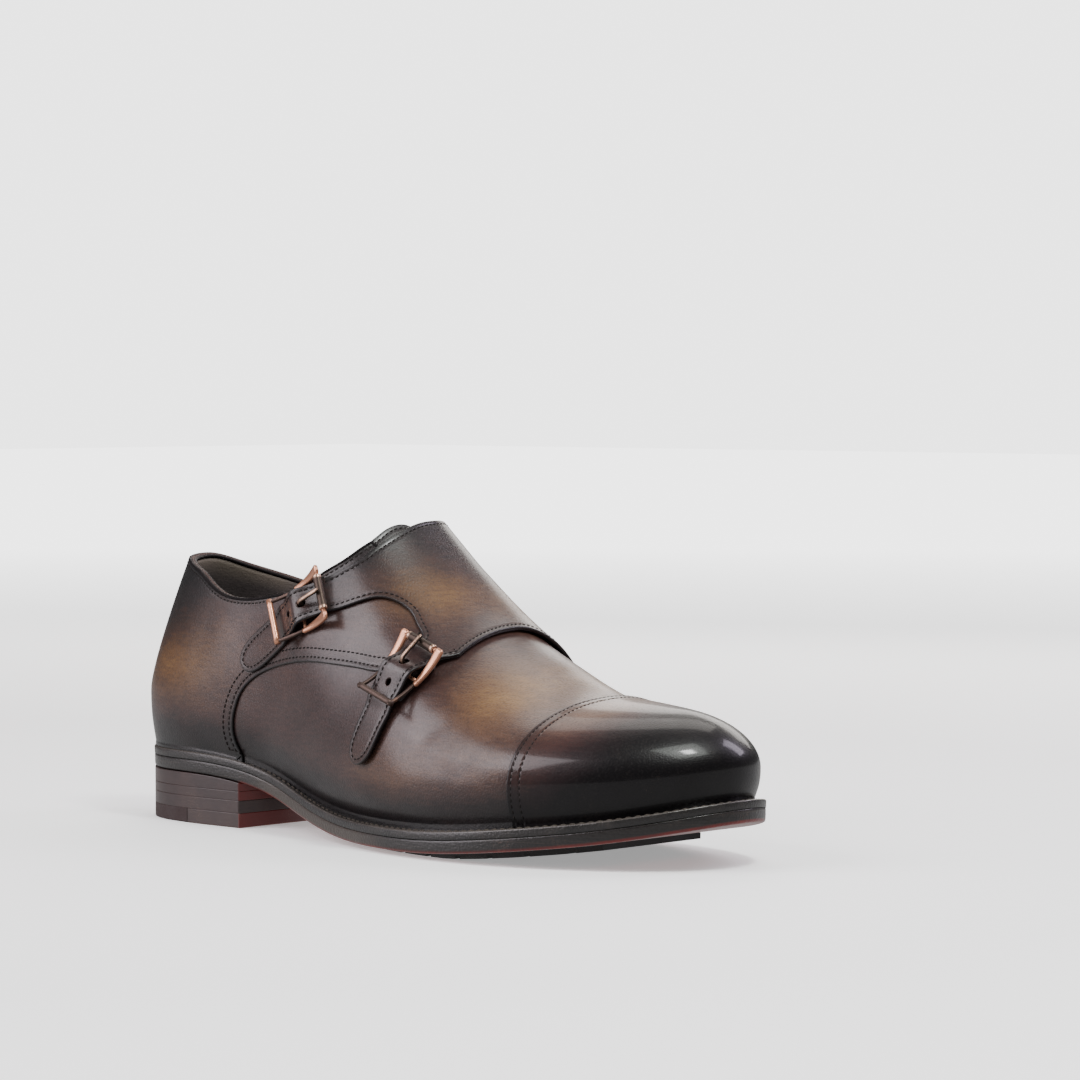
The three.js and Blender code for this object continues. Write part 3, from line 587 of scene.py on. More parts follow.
# A leather panel cut to an outline in u, w. topAt and baseAt give its two faces above the last,
# groove is (distance from the edge, depth, pitch) of a stitch row.
def leatherPanel(outline, topAt, baseAt, tone, groove=None, holes=(), spacing=2.4):
    look = panelLook
    count = len(outline)
    blocks, downs = edgeRings(outline, groove)
    faces = gridFaces(len(blocks), count, closeColumns=True)
    loops = [(len(blocks) - 1) * count + np.arange(count)]
    start = len(blocks) * count
    rims = []
    for hole in holes:  # holes get rings of their own, going outward from the hole's edge
        size = len(hole)
        blocks += [shifted(hole, -d, True) for d in look["holeRings"]]
        downs += [np.full(size, dropAt(d, look["holeRound"])) for d in look["holeRings"]]
        quads = gridFaces(len(look["holeRings"]), size, closeColumns=True, start=start)
        faces += [quad[::-1] for quad in quads]
        rims.append((start, size))
        loops.append(start + (len(look["holeRings"]) - 1) * size + np.arange(size))
        start += len(look["holeRings"]) * size
    ringPoints = np.vstack(blocks)
    bounds = [ringPoints[k] for k in loops]
    loopPoints = np.vstack(bounds)
    edges, at = [], 0
    for k in loops:
        edges += [(at + i, at + (i + 1) % len(k)) for i in range(len(k))]
        at += len(k)
    allPoints = np.vstack([loopPoints, insideGrid(bounds, spacing)]) * chartShape
    result = delaunay_2d_cdt([Vector(p) for p in allPoints], edges, [list(range(count))], 1, 1e-7)
    found = np.array([list(p) for p in result[0]]) / chartShape
    loopIndex = np.concatenate(loops)
    number = np.empty(len(found), int)
    extra = []
    for k, origins in enumerate(result[3]):
        if origins and origins[0] < len(loopPoints):
            number[k] = loopIndex[origins[0]]
        else:
            number[k] = len(ringPoints) + len(extra)
            extra.append(found[k])
    for triangle in result[2]:
        centre = found[list(triangle)].mean(0)[None] * chartShape
        if not any(insidePolygon(centre, loop * chartShape)[0] for loop in bounds[1:]):
            faces.append([int(number[k]) for k in triangle])
    u, w = np.vstack([ringPoints, np.array(extra).reshape(-1, 2)]).T
    down = np.concatenate(downs + [np.zeros(len(extra))])
    topOff = topAt(u, w)
    top = surface(u, w, topOff - down)
    bottom = surface(u, w, np.minimum(baseAt(u, w), topOff - look["thinnest"]))
    n = len(u)
    under = [[k + n for k in face][::-1] for face in faces]
    ahead = (np.arange(count) + 1) % count
    wall = [[int(j), i, i + n, int(j) + n] for i, j in enumerate(ahead)]
    for first, size in rims:
        for i in range(size):
            a, b = first + i, first + (i + 1) % size
            wall.append([a, b, b + n, a + n])
    values = tone(top)
    far = nearest(top, surface(outline[:, 0], outline[:, 1], topAt(outline[:, 0], outline[:, 1])))
    values["ink"] = 1 - smoothStep(far, *look["inked"])
    if "glow" in values:
        values["glow"] = values["glow"] - look["shade"] * np.exp(-far / look["shadeReach"])
    values = {key: np.concatenate([data, data]) for key, data in values.items()}
    values["ink"][n:] = 1.0
    normals = np.full((2 * n, 3), np.nan)
    flat = down < 1e-4
    normals[:n] = np.where(flat[:, None], panelNormal(u, w, topAt), np.nan)
    return np.vstack([top, bottom]), faces + under + wall, values, normals


def addPanel(name, outline, topAt, baseAt, material, tone, slotName, replaced=(), **more):
    points, faces, values, normals = leatherPanel(outline, topAt, baseAt, tone, **more)
    piece = addMesh(name, points, faces, material, normals, values)
    print("panel", name, len(points))
    return place(piece, slotName, *replaced)


# ---- shared shader groups
def newGroup(name, inputs, outputs):
    tree = bpy.data.node_groups.new(name, "ShaderNodeTree")
    for key, kind, value in inputs:
        socket = tree.interface.new_socket(key, in_out="INPUT", socket_type=kind)
        socket.default_value = value
    for key, kind in outputs:
        tree.interface.new_socket(key, in_out="OUTPUT", socket_type=kind)
    return tree, tree.nodes.new("NodeGroupInput"), tree.nodes.new("NodeGroupOutput")


def setInput(tree, node, key, value):
    if isinstance(value, bpy.types.NodeSocket):
        tree.links.new(value, node.inputs[key])
    elif value is not None:
        node.inputs[key].default_value = value


def mathNode(tree, operation, a, b=None, c=None, clamp=False):
    node = tree.nodes.new("ShaderNodeMath")
    node.operation = operation
    node.use_clamp = clamp
    for k, value in enumerate((a, b, c)):
        setInput(tree, node, k, value)
    return node.outputs[0]


def mixColour(tree, factor, a, b):
    node = tree.nodes.new("ShaderNodeMix")
    node.data_type = "RGBA"
    setInput(tree, node, 0, factor)
    setInput(tree, node, 6, a)
    setInput(tree, node, 7, b)
    return node.outputs[2]


# lays plain colours over one another: mask, how much of it, colour
def covered(tree, colour, *coats):
    for mask, amount, over in coats:
        factor = mask if amount == 1 else mathNode(tree, "MULTIPLY", mask, amount)
        colour = mixColour(tree, factor, colour, (*over, 1))
    return colour


# two patterns in one tone, by the first one's part
def together(tree, a, part, b):
    return mathNode(tree, "MULTIPLY_ADD", a, part, mathNode(tree, "MULTIPLY", b, 1 - part))


def noiseNode(tree, vector, scale, detail=3.0, roughness=0.55, distortion=0.0):
    node = tree.nodes.new("ShaderNodeTexNoise")
    for key, value in (("Vector", vector), ("Scale", scale), ("Detail", detail),
                       ("Roughness", roughness), ("Distortion", distortion)):
        setInput(tree, node, key, value)
    return node.outputs["Fac"]


def stretchNode(tree, vector, scale, turn=(0.0, 0.0, 0.0)):
    node = tree.nodes.new("ShaderNodeMapping")
    setInput(tree, node, "Vector", vector)
    node.inputs["Scale"].default_value = scale
    node.inputs["Rotation"].default_value = turn
    return node.outputs[0]


def remap(tree, value, fromLow, fromHigh, toLow=0.0, toHigh=1.0):
    node = tree.nodes.new("ShaderNodeMapRange")
    setInput(tree, node, "Value", value)
    for key, number in (("From Min", fromLow), ("From Max", fromHigh), ("To Min", toLow), ("To Max", toHigh)):
        setInput(tree, node, key, number)
    return node.outputs[0]


def rampNode(tree, value, stops):
    node = tree.nodes.new("ShaderNodeValToRGB")
    setInput(tree, node, 0, value)
    ramp = node.color_ramp
    while len(ramp.elements) < len(stops):
        ramp.elements.new(0.5)
    for element, (at, colour) in zip(ramp.elements, stops):
        element.position = at
        element.color = (*colour, 1)
    return node.outputs[0]


patinaLooks = {
    "cloud": 55.0,
    "strokes": 6.0,
    "strokeStretch": (26.0, 26.0, 150.0),
    "strokeTurn": (0.0, 0.18, 0.0),
    "fine": 420.0,
    "fineAmount": 0.09,
    "golden": [
        (0.0, (0.0025, 0.0020, 0.0022)), (0.20, (0.0090, 0.0050, 0.0042)), (0.40, (0.040, 0.0170, 0.0095)),
        (0.62, (0.112, 0.052, 0.018)), (0.82, (0.225, 0.120, 0.036)), (1.0, (0.36, 0.22, 0.08)),
    ],
    "purple": [
        (0.0, (0.0030, 0.0020, 0.0028)), (0.22, (0.0150, 0.0078, 0.0088)), (0.45, (0.050, 0.0225, 0.0205)),
        (0.72, (0.135, 0.068, 0.052)), (1.0, (0.26, 0.15, 0.10)),
    ],
}


# hand-brushed patina: a tone from near black through purple-brown to golden olive
def buildPatina(look):
    tree, given, result = newGroup("brushedPatina", [
        ("Position", "NodeSocketVector", (0, 0, 0)),
        ("Glow", "NodeSocketFloat", 0.5),
        ("Warmth", "NodeSocketFloat", 0.5),
        ("Mottle", "NodeSocketFloat", 0.25),
        ("Streaks", "NodeSocketFloat", 0.2),
    ], [("Color", "NodeSocketColor"), ("Tone", "NodeSocketFloat")])
    at = given.outputs["Position"]
    brushed = stretchNode(tree, at, look["strokeStretch"], look["strokeTurn"])
    tone = given.outputs["Glow"]
    for pattern, amount, clamp in (
        (noiseNode(tree, at, look["cloud"], 4.0, 0.6, 0.6), given.outputs["Mottle"], False),
        (noiseNode(tree, brushed, look["strokes"], 4.0, 0.65), given.outputs["Streaks"], False),
        (noiseNode(tree, at, look["fine"], 3.0, 0.7), look["fineAmount"], True),
    ):
        swing = mathNode(tree, "SUBTRACT", pattern, 0.5)
        tone = mathNode(tree, "MULTIPLY_ADD", swing, amount, tone, clamp)
    golden = rampNode(tree, tone, look["golden"])
    purple = rampNode(tree, tone, look["purple"])
    colour = mixColour(tree, given.outputs["Warmth"], purple, golden)
    setInput(tree, result, "Color", colour)
    setInput(tree, result, "Tone", tone)
    return tree


grainLooks = {"wander": 700.0, "drift": 0.0007, "broad": 260.0, "pores": (0.42, 0.75)}


# calf grain: shallow pebbles with pores
def buildGrain(look):
    tree, given, result = newGroup("calfGrain", [
        ("Position", "NodeSocketVector", (0, 0, 0)),
        ("Size", "NodeSocketFloat", 1500.0),
        ("Soften", "NodeSocketFloat", 0.3),
    ], [("Height", "NodeSocketFloat"), ("Pores", "NodeSocketFloat")])
    at = given.outputs["Position"]
    wander = tree.nodes.new("ShaderNodeTexNoise")
    setInput(tree, wander, "Scale", look["wander"])
    setInput(tree, wander, "Vector", at)
    drift = tree.nodes.new("ShaderNodeVectorMath")
    drift.operation = "MULTIPLY_ADD"
    for k, value in enumerate((wander.outputs["Color"], (look["drift"],) * 3, at)):
        setInput(tree, drift, k, value)
    cells = tree.nodes.new("ShaderNodeTexVoronoi")
    cells.feature = "SMOOTH_F1"
    setInput(tree, cells, "Vector", drift.outputs[0])
    setInput(tree, cells, "Scale", given.outputs["Size"])
    pebble = mathNode(tree, "SUBTRACT", 1.0, cells.outputs["Distance"])
    broad = noiseNode(tree, at, look["broad"], 3.0, 0.6)
    setInput(tree, result, "Height", mathNode(tree, "MULTIPLY_ADD", broad, given.outputs["Soften"], pebble))
    setInput(tree, result, "Pores", remap(tree, cells.outputs["Distance"], *look["pores"]))
    return tree


scuffLooks = {
    "stretch": (30.0, 200.0, 420.0),
    "turn": (0.25, 0.1, 0.5),
    "lines": 5.0,
    "hairline": 0.008,
    "gate": 90.0,
    "gateRange": (0.56, 0.66),
    "haze": 38.0,
    "hazeRange": (0.42, 0.7),
}


# hairline scratches and rubbed spots
def buildScuffs(look):
    tree, given, result = newGroup("rubbedScuffs", [
        ("Position", "NodeSocketVector", (0, 0, 0)),
        ("Amount", "NodeSocketFloat", 0.5),
    ], [("Mask", "NodeSocketFloat"), ("Haze", "NodeSocketFloat")])
    at = given.outputs["Position"]
    amount = given.outputs["Amount"]
    long = noiseNode(tree, stretchNode(tree, at, look["stretch"], look["turn"]), look["lines"], 2.0, 0.5, 0.4)
    line = mathNode(tree, "ABSOLUTE", mathNode(tree, "SUBTRACT", long, 0.5))
    line = remap(tree, line, 0.0, look["hairline"], 1.0, 0.0)
    gate = remap(tree, noiseNode(tree, at, look["gate"], 2.0), *look["gateRange"])
    haze = remap(tree, noiseNode(tree, at, look["haze"], 5.0, 0.62), *look["hazeRange"])
    mask = mathNode(tree, "MULTIPLY", line, gate)
    setInput(tree, result, "Mask", mathNode(tree, "MULTIPLY", mask, amount))
    setInput(tree, result, "Haze", mathNode(tree, "MULTIPLY", haze, amount))
    return tree


patinaGroup = buildPatina(patinaLooks)
grainGroup = buildGrain(grainLooks)
scuffGroup = buildScuffs(scuffLooks)


def groupNode(tree, group, **values):
    node = tree.nodes.new("ShaderNodeGroup")
    node.node_tree = group
    for key, value in values.items():
        setInput(tree, node, key, value)
    return node


def newMaterial(name, sockets):
    material = bpy.data.materials.new(name)
    material.use_nodes = True
    tree = material.node_tree
    shader = tree.nodes["Principled BSDF"]
    for key, value in sockets.items():
        shader.inputs[key].default_value = value
    return material, tree, shader, tree.nodes.new("ShaderNodeTexCoord").outputs["Object"]


def attributeNode(tree, name):
    node = tree.nodes.new("ShaderNodeAttribute")
    node.attribute_name = name
    return node.outputs["Fac"]


def wireShader(tree, shader, colour, rough, height, depth):
    bump = tree.nodes.new("ShaderNodeBump")
    setInput(tree, bump, "Distance", depth)
    setInput(tree, bump, "Strength", 1.0)
    setInput(tree, bump, "Height", height)
    for key, value in (("Base Color", colour), ("Roughness", rough), ("Normal", bump.outputs[0])):
        setInput(tree, shader, key, value)


# ---- leather materials
leatherLooks = {
    "upperLeather": {"mottle": 0.26, "streaks": 0.30, "rough": 0.40, "coat": 0.55, "coatRough": 0.24,
                     "grain": 1500.0, "depth": 0.00013, "scuffs": 0.5, "spread": 0.16, "shine": 0.42},
    "capLeather": {"mottle": 0.20, "streaks": 0.18, "rough": 0.36, "coat": 0.38, "coatRough": 0.11,
                   "grain": 1700.0, "depth": 0.00005, "scuffs": 0.35, "spread": 0.10, "shine": 0.30},
    "strapLeather": {"mottle": 0.26, "streaks": 0.26, "rough": 0.42, "coat": 0.35, "coatRough": 0.22,
                     "grain": 1500.0, "depth": 0.00018, "scuffs": 0.6, "spread": 0.16, "shine": 0.4},
    "edgeLeather": {"mottle": 0.26, "streaks": 0.20, "rough": 0.62, "coat": 0.0, "coatRough": 0.3,
                    "grain": 1500.0, "depth": 0.00018, "scuffs": 0.4, "spread": 0.1, "shine": 0.2},
}
# the same on every leather: what lies over the patina, and how pores and rubbing change the gloss
wearLooks = {
    "pore": (0.35, (0.012, 0.009, 0.009)),
    "scratch": (0.35, (0.30, 0.21, 0.14)),
    "ink": (1, (0.006, 0.005, 0.006)),
    "poreRough": 0.10,
    "coatLoss": 0.35,
    "index": 1.42,
}


def makeLeather(name, look, wear):
    sockets = {"Coat Roughness": look["coatRough"], "IOR": wear["index"], "Specular IOR Level": look["shine"]}
    material, tree, shader, at = newMaterial(name, sockets)
    patina = groupNode(tree, patinaGroup, Position=at, Glow=attributeNode(tree, "glow"),
                       Warmth=attributeNode(tree, "warmth"), Mottle=look["mottle"], Streaks=look["streaks"])
    grain = groupNode(tree, grainGroup, Position=at, Size=look["grain"])
    scuffs = groupNode(tree, scuffGroup, Position=at, Amount=look["scuffs"])
    pores, haze = grain.outputs["Pores"], scuffs.outputs["Haze"]
    colour = covered(tree, patina.outputs["Color"], (pores, *wear["pore"]),
                     (scuffs.outputs["Mask"], *wear["scratch"]), (attributeNode(tree, "ink"), *wear["ink"]))
    rough = mathNode(tree, "MULTIPLY_ADD", haze, look["spread"], look["rough"])
    rough = mathNode(tree, "MULTIPLY_ADD", pores, wear["poreRough"], rough)
    loss = mathNode(tree, "MULTIPLY", haze, wear["coatLoss"])
    setInput(tree, shader, "Coat Weight", mathNode(tree, "SUBTRACT", look["coat"], loss, clamp=True))
    wireShader(tree, shader, colour, rough, grain.outputs["Height"], look["depth"])
    return material


leathers = {name: makeLeather(name, look, wearLooks) for name, look in leatherLooks.items()}

liningTones = {
    "sockets": {"Roughness": 0.72},
    "grain": 2100.0,
    "brush": (60.0, 60.0, 900.0),
    "cloud": 70.0,
    "tones": [(0.3, (0.042, 0.034, 0.034)), (0.5, (0.070, 0.058, 0.056)), (0.72, (0.115, 0.096, 0.090))],
    "worn": (0.85, (0.20, 0.165, 0.13)),
    "depth": 0.00016,
}


def makeLining(look):
    material, tree, shader, at = newMaterial("liningLeather", look["sockets"])
    grain = groupNode(tree, grainGroup, Position=at, Size=look["grain"])
    brushed = noiseNode(tree, stretchNode(tree, at, look["brush"]), 4.0, 3.0, 0.6)
    tone = together(tree, brushed, 0.5, noiseNode(tree, at, look["cloud"], 4.0, 0.6))
    colour = covered(tree, rampNode(tree, tone, look["tones"]), (attributeNode(tree, "pale"), *look["worn"]))
    height = mathNode(tree, "MULTIPLY_ADD", brushed, 0.8, grain.outputs["Height"])
    wireShader(tree, shader, colour, None, height, look["depth"])
    return material


weltLooks = {
    "sockets": {"Coat Weight": 0.35, "Coat Roughness": 0.22},
    "grain": 1300.0,
    "scuffs": 0.8,
    "cloud": 120.0,
    "tones": [(0.3, (0.0065, 0.006, 0.0065)), (0.6, (0.014, 0.0115, 0.011)), (0.8, (0.032, 0.024, 0.020))],
    "scratch": (0.5, (0.22, 0.17, 0.13)),
    # painted highlight: a lighter colour along the welt's rounded top corner
    "rubAndPaintedHighlight": (0.55, (0.10, 0.082, 0.07)),
    "rough": (0.32, 0.56),
    "depth": 0.00022,
}


def makeWeltLeather(look):
    material, tree, shader, at = newMaterial("weltLeather", look["sockets"])
    grain = groupNode(tree, grainGroup, Position=at, Size=look["grain"])
    scuffs = groupNode(tree, scuffGroup, Position=at, Amount=look["scuffs"])
    cloud = noiseNode(tree, at, look["cloud"], 4.0, 0.65)
    # the edge attribute lays the painted highlight on the welt's rounded top corner
    colour = covered(tree, rampNode(tree, cloud, look["tones"]), (scuffs.outputs["Mask"], *look["scratch"]),
                     (attributeNode(tree, "edge"), *look["rubAndPaintedHighlight"]))
    rough = remap(tree, cloud, 0.3, 0.75, *look["rough"])
    wireShader(tree, shader, colour, rough, grain.outputs["Height"], look["depth"])
    return material


soleLooks = {
    "sockets": {"Coat Weight": 0.3, "Coat Roughness": 0.2},
    "grain": 1100.0,
    "scuffs": 0.9,
    "cloud": 90.0,
    "layers": (25.0, 25.0, 2300.0),
    "red": [(0.28, (0.12, 0.007, 0.005)), (0.55, (0.20, 0.012, 0.008)), (0.8, (0.29, 0.030, 0.016))],
    "black": [(0.3, (0.007, 0.006, 0.0065)), (0.6, (0.017, 0.013, 0.012)), (0.78, (0.050, 0.036, 0.028))],
    "waist": (0.8, (0.055, 0.042, 0.034)),
    "scratch": (0.5, (0.36, 0.20, 0.14)),
    "rough": (0.30, 0.48),
    "depth": 0.00015,
}


# red bottom, edge inked black with brown showing through along the waist
def makeSoleLeather(look):
    material, tree, shader, at = newMaterial("soleLeather", look["sockets"])
    grain = groupNode(tree, grainGroup, Position=at, Size=look["grain"])
    scuffs = groupNode(tree, scuffGroup, Position=at, Amount=look["scuffs"])
    cloud = noiseNode(tree, at, look["cloud"], 5.0, 0.65)
    layered = noiseNode(tree, stretchNode(tree, at, look["layers"]), 1.0, 3.0, 0.7)
    edge = rampNode(tree, layered, look["black"])
    edge = covered(tree, edge, (attributeNode(tree, "waist"), *look["waist"]))
    colour = mixColour(tree, attributeNode(tree, "under"), edge, rampNode(tree, cloud, look["red"]))
    colour = covered(tree, colour, (scuffs.outputs["Mask"], *look["scratch"]))
    rough = remap(tree, cloud, 0.3, 0.75, *look["rough"])
    height = mathNode(tree, "MULTIPLY_ADD", layered, 0.6, grain.outputs["Height"])
    wireShader(tree, shader, colour, rough, height, look["depth"])
    return material


heelLooks = {
    "sockets": {"Coat Weight": 0.35, "Coat Roughness": 0.25},
    "scuffs": 0.8,
    "layers": (18.0, 18.0, 1500.0),
    "cloud": 80.0,
    "cloudPart": 0.84,
    "tones": [(0.30, (0.0180, 0.0088, 0.0090)), (0.5, (0.030, 0.0145, 0.0140)), (0.70, (0.044, 0.022, 0.019)),
              (0.9, (0.07, 0.038, 0.03))],
    "seam": (1, (0.005, 0.0045, 0.005)),
    "breast": (1, (0.10, 0.006, 0.005)),
    "under": (1, (0.22, 0.10, 0.05)),
    "scratch": (0.5, (0.30, 0.21, 0.15)),
    "rough": (0.44, 0.50),
    "depth": 0.00003,
}


# stacked lifts: fine level striations, dark purple-brown wax, a red breast
def makeHeelLeather(look):
    material, tree, shader, at = newMaterial("heelLeather", look["sockets"])
    scuffs = groupNode(tree, scuffGroup, Position=at, Amount=look["scuffs"])
    layered = noiseNode(tree, stretchNode(tree, at, look["layers"]), 1.0, 4.0, 0.75)
    tone = together(tree, noiseNode(tree, at, look["cloud"], 4.0, 0.6), look["cloudPart"], layered)
    coats = [(attributeNode(tree, name), *look[name]) for name in ("seam", "breast", "under")]
    coats.append((scuffs.outputs["Mask"], *look["scratch"]))
    colour = covered(tree, rampNode(tree, tone, look["tones"]), *coats)
    wireShader(tree, shader, colour, remap(tree, layered, 0.3, 0.75, *look["rough"]), layered, look["depth"])
    return material


rubberLooks = {
    "speckle": 1600.0,
    "specklePart": 0.4,
    "cloud": 110.0,
    "tones": [(0.35, (0.010, 0.010, 0.011)), (0.6, (0.020, 0.019, 0.019)), (0.75, (0.042, 0.038, 0.035))],
    "stain": (1, (0.030, 0.0145, 0.0140)),  # the heel's wax on the rubber's wall
    "rough": (0.5, 0.75),
    "depth": 0.0001,
}


def makeRubber(look):
    material, tree, shader, at = newMaterial("blackRubber", {})
    speckle = noiseNode(tree, at, look["speckle"], 3.0, 0.7)
    cloud = noiseNode(tree, at, look["cloud"], 4.0, 0.6)
    colour = rampNode(tree, together(tree, speckle, look["specklePart"], cloud), look["tones"])
    colour = covered(tree, colour, (attributeNode(tree, "stain"), *look["stain"]))
    wireShader(tree, shader, colour, remap(tree, cloud, 0.3, 0.75, *look["rough"]), speckle, look["depth"])
    return material


# antique copper: dark bronze in the hollows, bright where it is rubbed; the per-vertex polish value also
# carries painted highlight on the top faces and painted shade on the thin rear rails
metalLooks = {
    "copper": {"bright": (0.60, 0.285, 0.18), "dull": (0.085, 0.055, 0.046), "cover": 0.55, "rough": 0.30,
               "metallic": 0.72},
    "darkBronze": {"bright": (0.52, 0.33, 0.24), "dull": (0.060, 0.042, 0.034), "cover": 0.12, "rough": 0.26,
                   "metallic": 0.85},
}
metalCommon = {"cloud": 330.0, "cloudPart": 0.55, "range": (0.85, 1.15), "dullRougher": 0.2,
               "brush": (500.0, 500.0, 900.0), "depth": 0.00003}


def makeMetal(name, look, common):
    material, tree, shader, at = newMaterial(name, {"Metallic": look["metallic"]})
    cloud = noiseNode(tree, at, common["cloud"], 4.0, 0.6)
    fine = noiseNode(tree, stretchNode(tree, at, common["brush"]), 4.0, 3.0, 0.6)
    cloud = mathNode(tree, "MULTIPLY", cloud, common["cloudPart"])
    rubAndPaintedHighlight = mathNode(tree, "ADD", cloud, attributeNode(tree, "polishAndPaintedLight"))
    mask = remap(tree, rubAndPaintedHighlight, *(edge - look["cover"] for edge in common["range"]))
    rough = remap(tree, mask, 0.0, 1.0, look["rough"] + common["dullRougher"], look["rough"])
    colour = mixColour(tree, mask, (*look["dull"], 1), (*look["bright"], 1))
    wireShader(tree, shader, colour, rough, fine, common["depth"])
    return material


# waxed thread, twisted
threadLooks = {"darkThread": (0.016, 0.011, 0.010), "weltThread": (0.075, 0.062, 0.050)}
threadCommon = {
    "sockets": {"Roughness": 0.75, "Specular IOR Level": 0.25},
    "twist": 2600.0,
    "cloud": 260.0,
    "deep": 0.35,
    "depth": 0.00012,
}


def makeThread(name, colour, common):
    material, tree, shader, at = newMaterial(name, common["sockets"])
    twist = noiseNode(tree, at, common["twist"], 2.0, 0.6)
    tone = together(tree, twist, 0.5, noiseNode(tree, at, common["cloud"], 3.0, 0.6))
    deep = tuple(common["deep"] * c for c in colour)
    twisted = rampNode(tree, tone, [(0.35, deep), (0.6, colour)])
    wireShader(tree, shader, twisted, None, twist, common["depth"])
    return material


lining = makeLining(liningTones)
weltLeather = makeWeltLeather(weltLooks)
soleLeather = makeSoleLeather(soleLooks)
heelLeather = makeHeelLeather(heelLooks)
rubber = makeRubber(rubberLooks)
metals = {name: makeMetal(name, look, metalCommon) for name, look in metalLooks.items()}
threads = {name: makeThread(name, colour, threadCommon) for name, colour in threadLooks.items()}
print("materials ready")


# ---- patina tones: glowing spots, dark seams, near-black toe and feather
patina = {
    "base": 0.36,
    "warmth": 0.12,
    # spots: x, across, radii in x, y and z, how much it glows, how warm it is
    "spots": [
        (38, 0.36, 34, 30, 21, 0.34, 1.0),
        (100, 0.40, 24, 30, 22, 0.10, 0.2),
        (152, 0.84, 22, 22, 15, 0.34, 0.95),
        (206, 0.72, 20, 26, 26, 0.30, 0.9),
        (212, 1.20, 20, 40, 26, 0.28, 0.8),
        (178, 0.24, 34, 26, 14, 0.16, 0.5),
        (228, 0.30, 16, 30, 16, 0.12, 0.6),
        (244, 0.66, 12, 26, 22, 0.15, 0.55),
        (244, 1.10, 12, 50, 30, 0.18, 0.6),
        (252, 0.30, 22, 26, 18, -0.26, 0.0),
        (40, 1.64, 32, 30, 21, 0.34, 1.0),
        (105, 1.56, 34, 30, 20, 0.18, 0.4),
        (158, 1.30, 24, 22, 16, 0.30, 0.9),
        (190, 1.64, 30, 26, 16, 0.20, 0.5),
    ],
    # darker places: from, to, how much
    "toeDark": (252.0, 278.0, 0.40),
    "footDark": (-20.0, -4.0, 0.26),  # measured down from the leather to the welt
    "topDark": (84.0, 106.0, 0.16),
    "heelTop": (58.0, 80.0, 0.34),
    "heelEnds": (30.0, 75.0),
    "warmReach": 1.3,
}


def leatherTone(points):
    glow = np.full(len(points), patina["base"])
    warmth = np.full(len(points), patina["warmth"])
    for x, across, rx, ry, rz, amount, warm in patina["spots"]:
        d = (points - surface(float(uAt(x)), across)) / (rx, ry, rz)
        near = np.exp(-(d ** 2).sum(1))
        glow += amount * near
        warmth += (warm - warmth) * np.minimum(near * patina["warmReach"], 1)
    x, z = points[:, 0], points[:, 2]
    heel = 1 - smoothStep(x, *patina["heelEnds"])
    darker = (("toeDark", x, 1), ("footDark", treadZ(x) - z, 1), ("topDark", z, 1), ("heelTop", z, heel))
    for name, measure, where in darker:
        low, high, amount = patina[name]
        glow -= amount * smoothStep(measure, low, high) * where
    return {"glow": glow, "warmth": warmth}


def plainTone(points):
    return {"pale": np.zeros(len(points))}


# ---- outlines
footV = -0.026  # the wall's foot, just above the welt
backU = 0.3  # half the gap of the seam at the heel back

collar = {
    # x, v on the outer side, v on the inner side
    "rows": [
        [5.5, 0.591, 0.591],
        [18, 0.580, 0.562],
        [36, 0.545, 0.516],
        [44, 0.522, 0.494],
        [53, 0.486, 0.470],
        [62.6, 0.453, 0.452],
        [72, 0.438, 0.443],
        [83, 0.439, 0.446],
        [96, 0.464, 0.470],
        [107, 0.507, 0.515],
        [114.6, 0.568, 0.580],
        [119.8, 0.623, 0.640],
        [124.8, 0.696, 0.715],
        [128.2, 0.774, 0.800],
    ],
    "throatX": 137.0,  # the lining ends well under the flap
}
collarTable = np.array(collar["rows"], float)
collarSpline = naturalSpline(collarTable[:, 0], collarTable[:, 1:])


def collarV(x, inner):
    x = np.asarray(x, float)
    end = collarTable[-1]
    v = collarSpline(np.minimum(x, end[0]))[..., 1 if inner else 0]
    t = np.clip((x - end[0]) / (collar["throatX"] - end[0]), 0, 1)
    return np.where(x > end[0], v + (1 - v) * (1 - np.sqrt(1 - t * t)), v)


def inChart(rows):
    rows = np.asarray(rows, float)
    return np.stack([uAt(rows[:, 0]), rows[:, 1]], -1)


def joined(*parts):
    return np.vstack(parts)


def straightTo(a, b, step=1.0):
    return evenly(np.array([a, b], float), step)[1:-1]


# the topline of one side, from the heel back to feather x
def toplineTo(x, inner=False):
    us = np.linspace(backU, float(uAt(x)), 160)
    v = collarV(feather(us)[:, 0], inner)
    return np.stack([us, 2 - v if inner else v], -1)


def counterClockwise(outline):
    x, y = outline[:, 0], outline[:, 1] * chartScale
    area = (x * np.roll(y, -1) - np.roll(x, -1) * y).sum()
    return outline if area > 0 else outline[::-1]


# distance round the feather line, across
quarterSeam = [
    [80.4, 0.0], [79.8, 0.024], [78.6, 0.092], [79.9, 0.187], [84.1, 0.248], [92.9, 0.289], [105.6, 0.326],
    [121.7, 0.376], [139.4, 0.440], [155.5, 0.497], [168.3, 0.537], [177, 0.60], [177, 0.72],
]
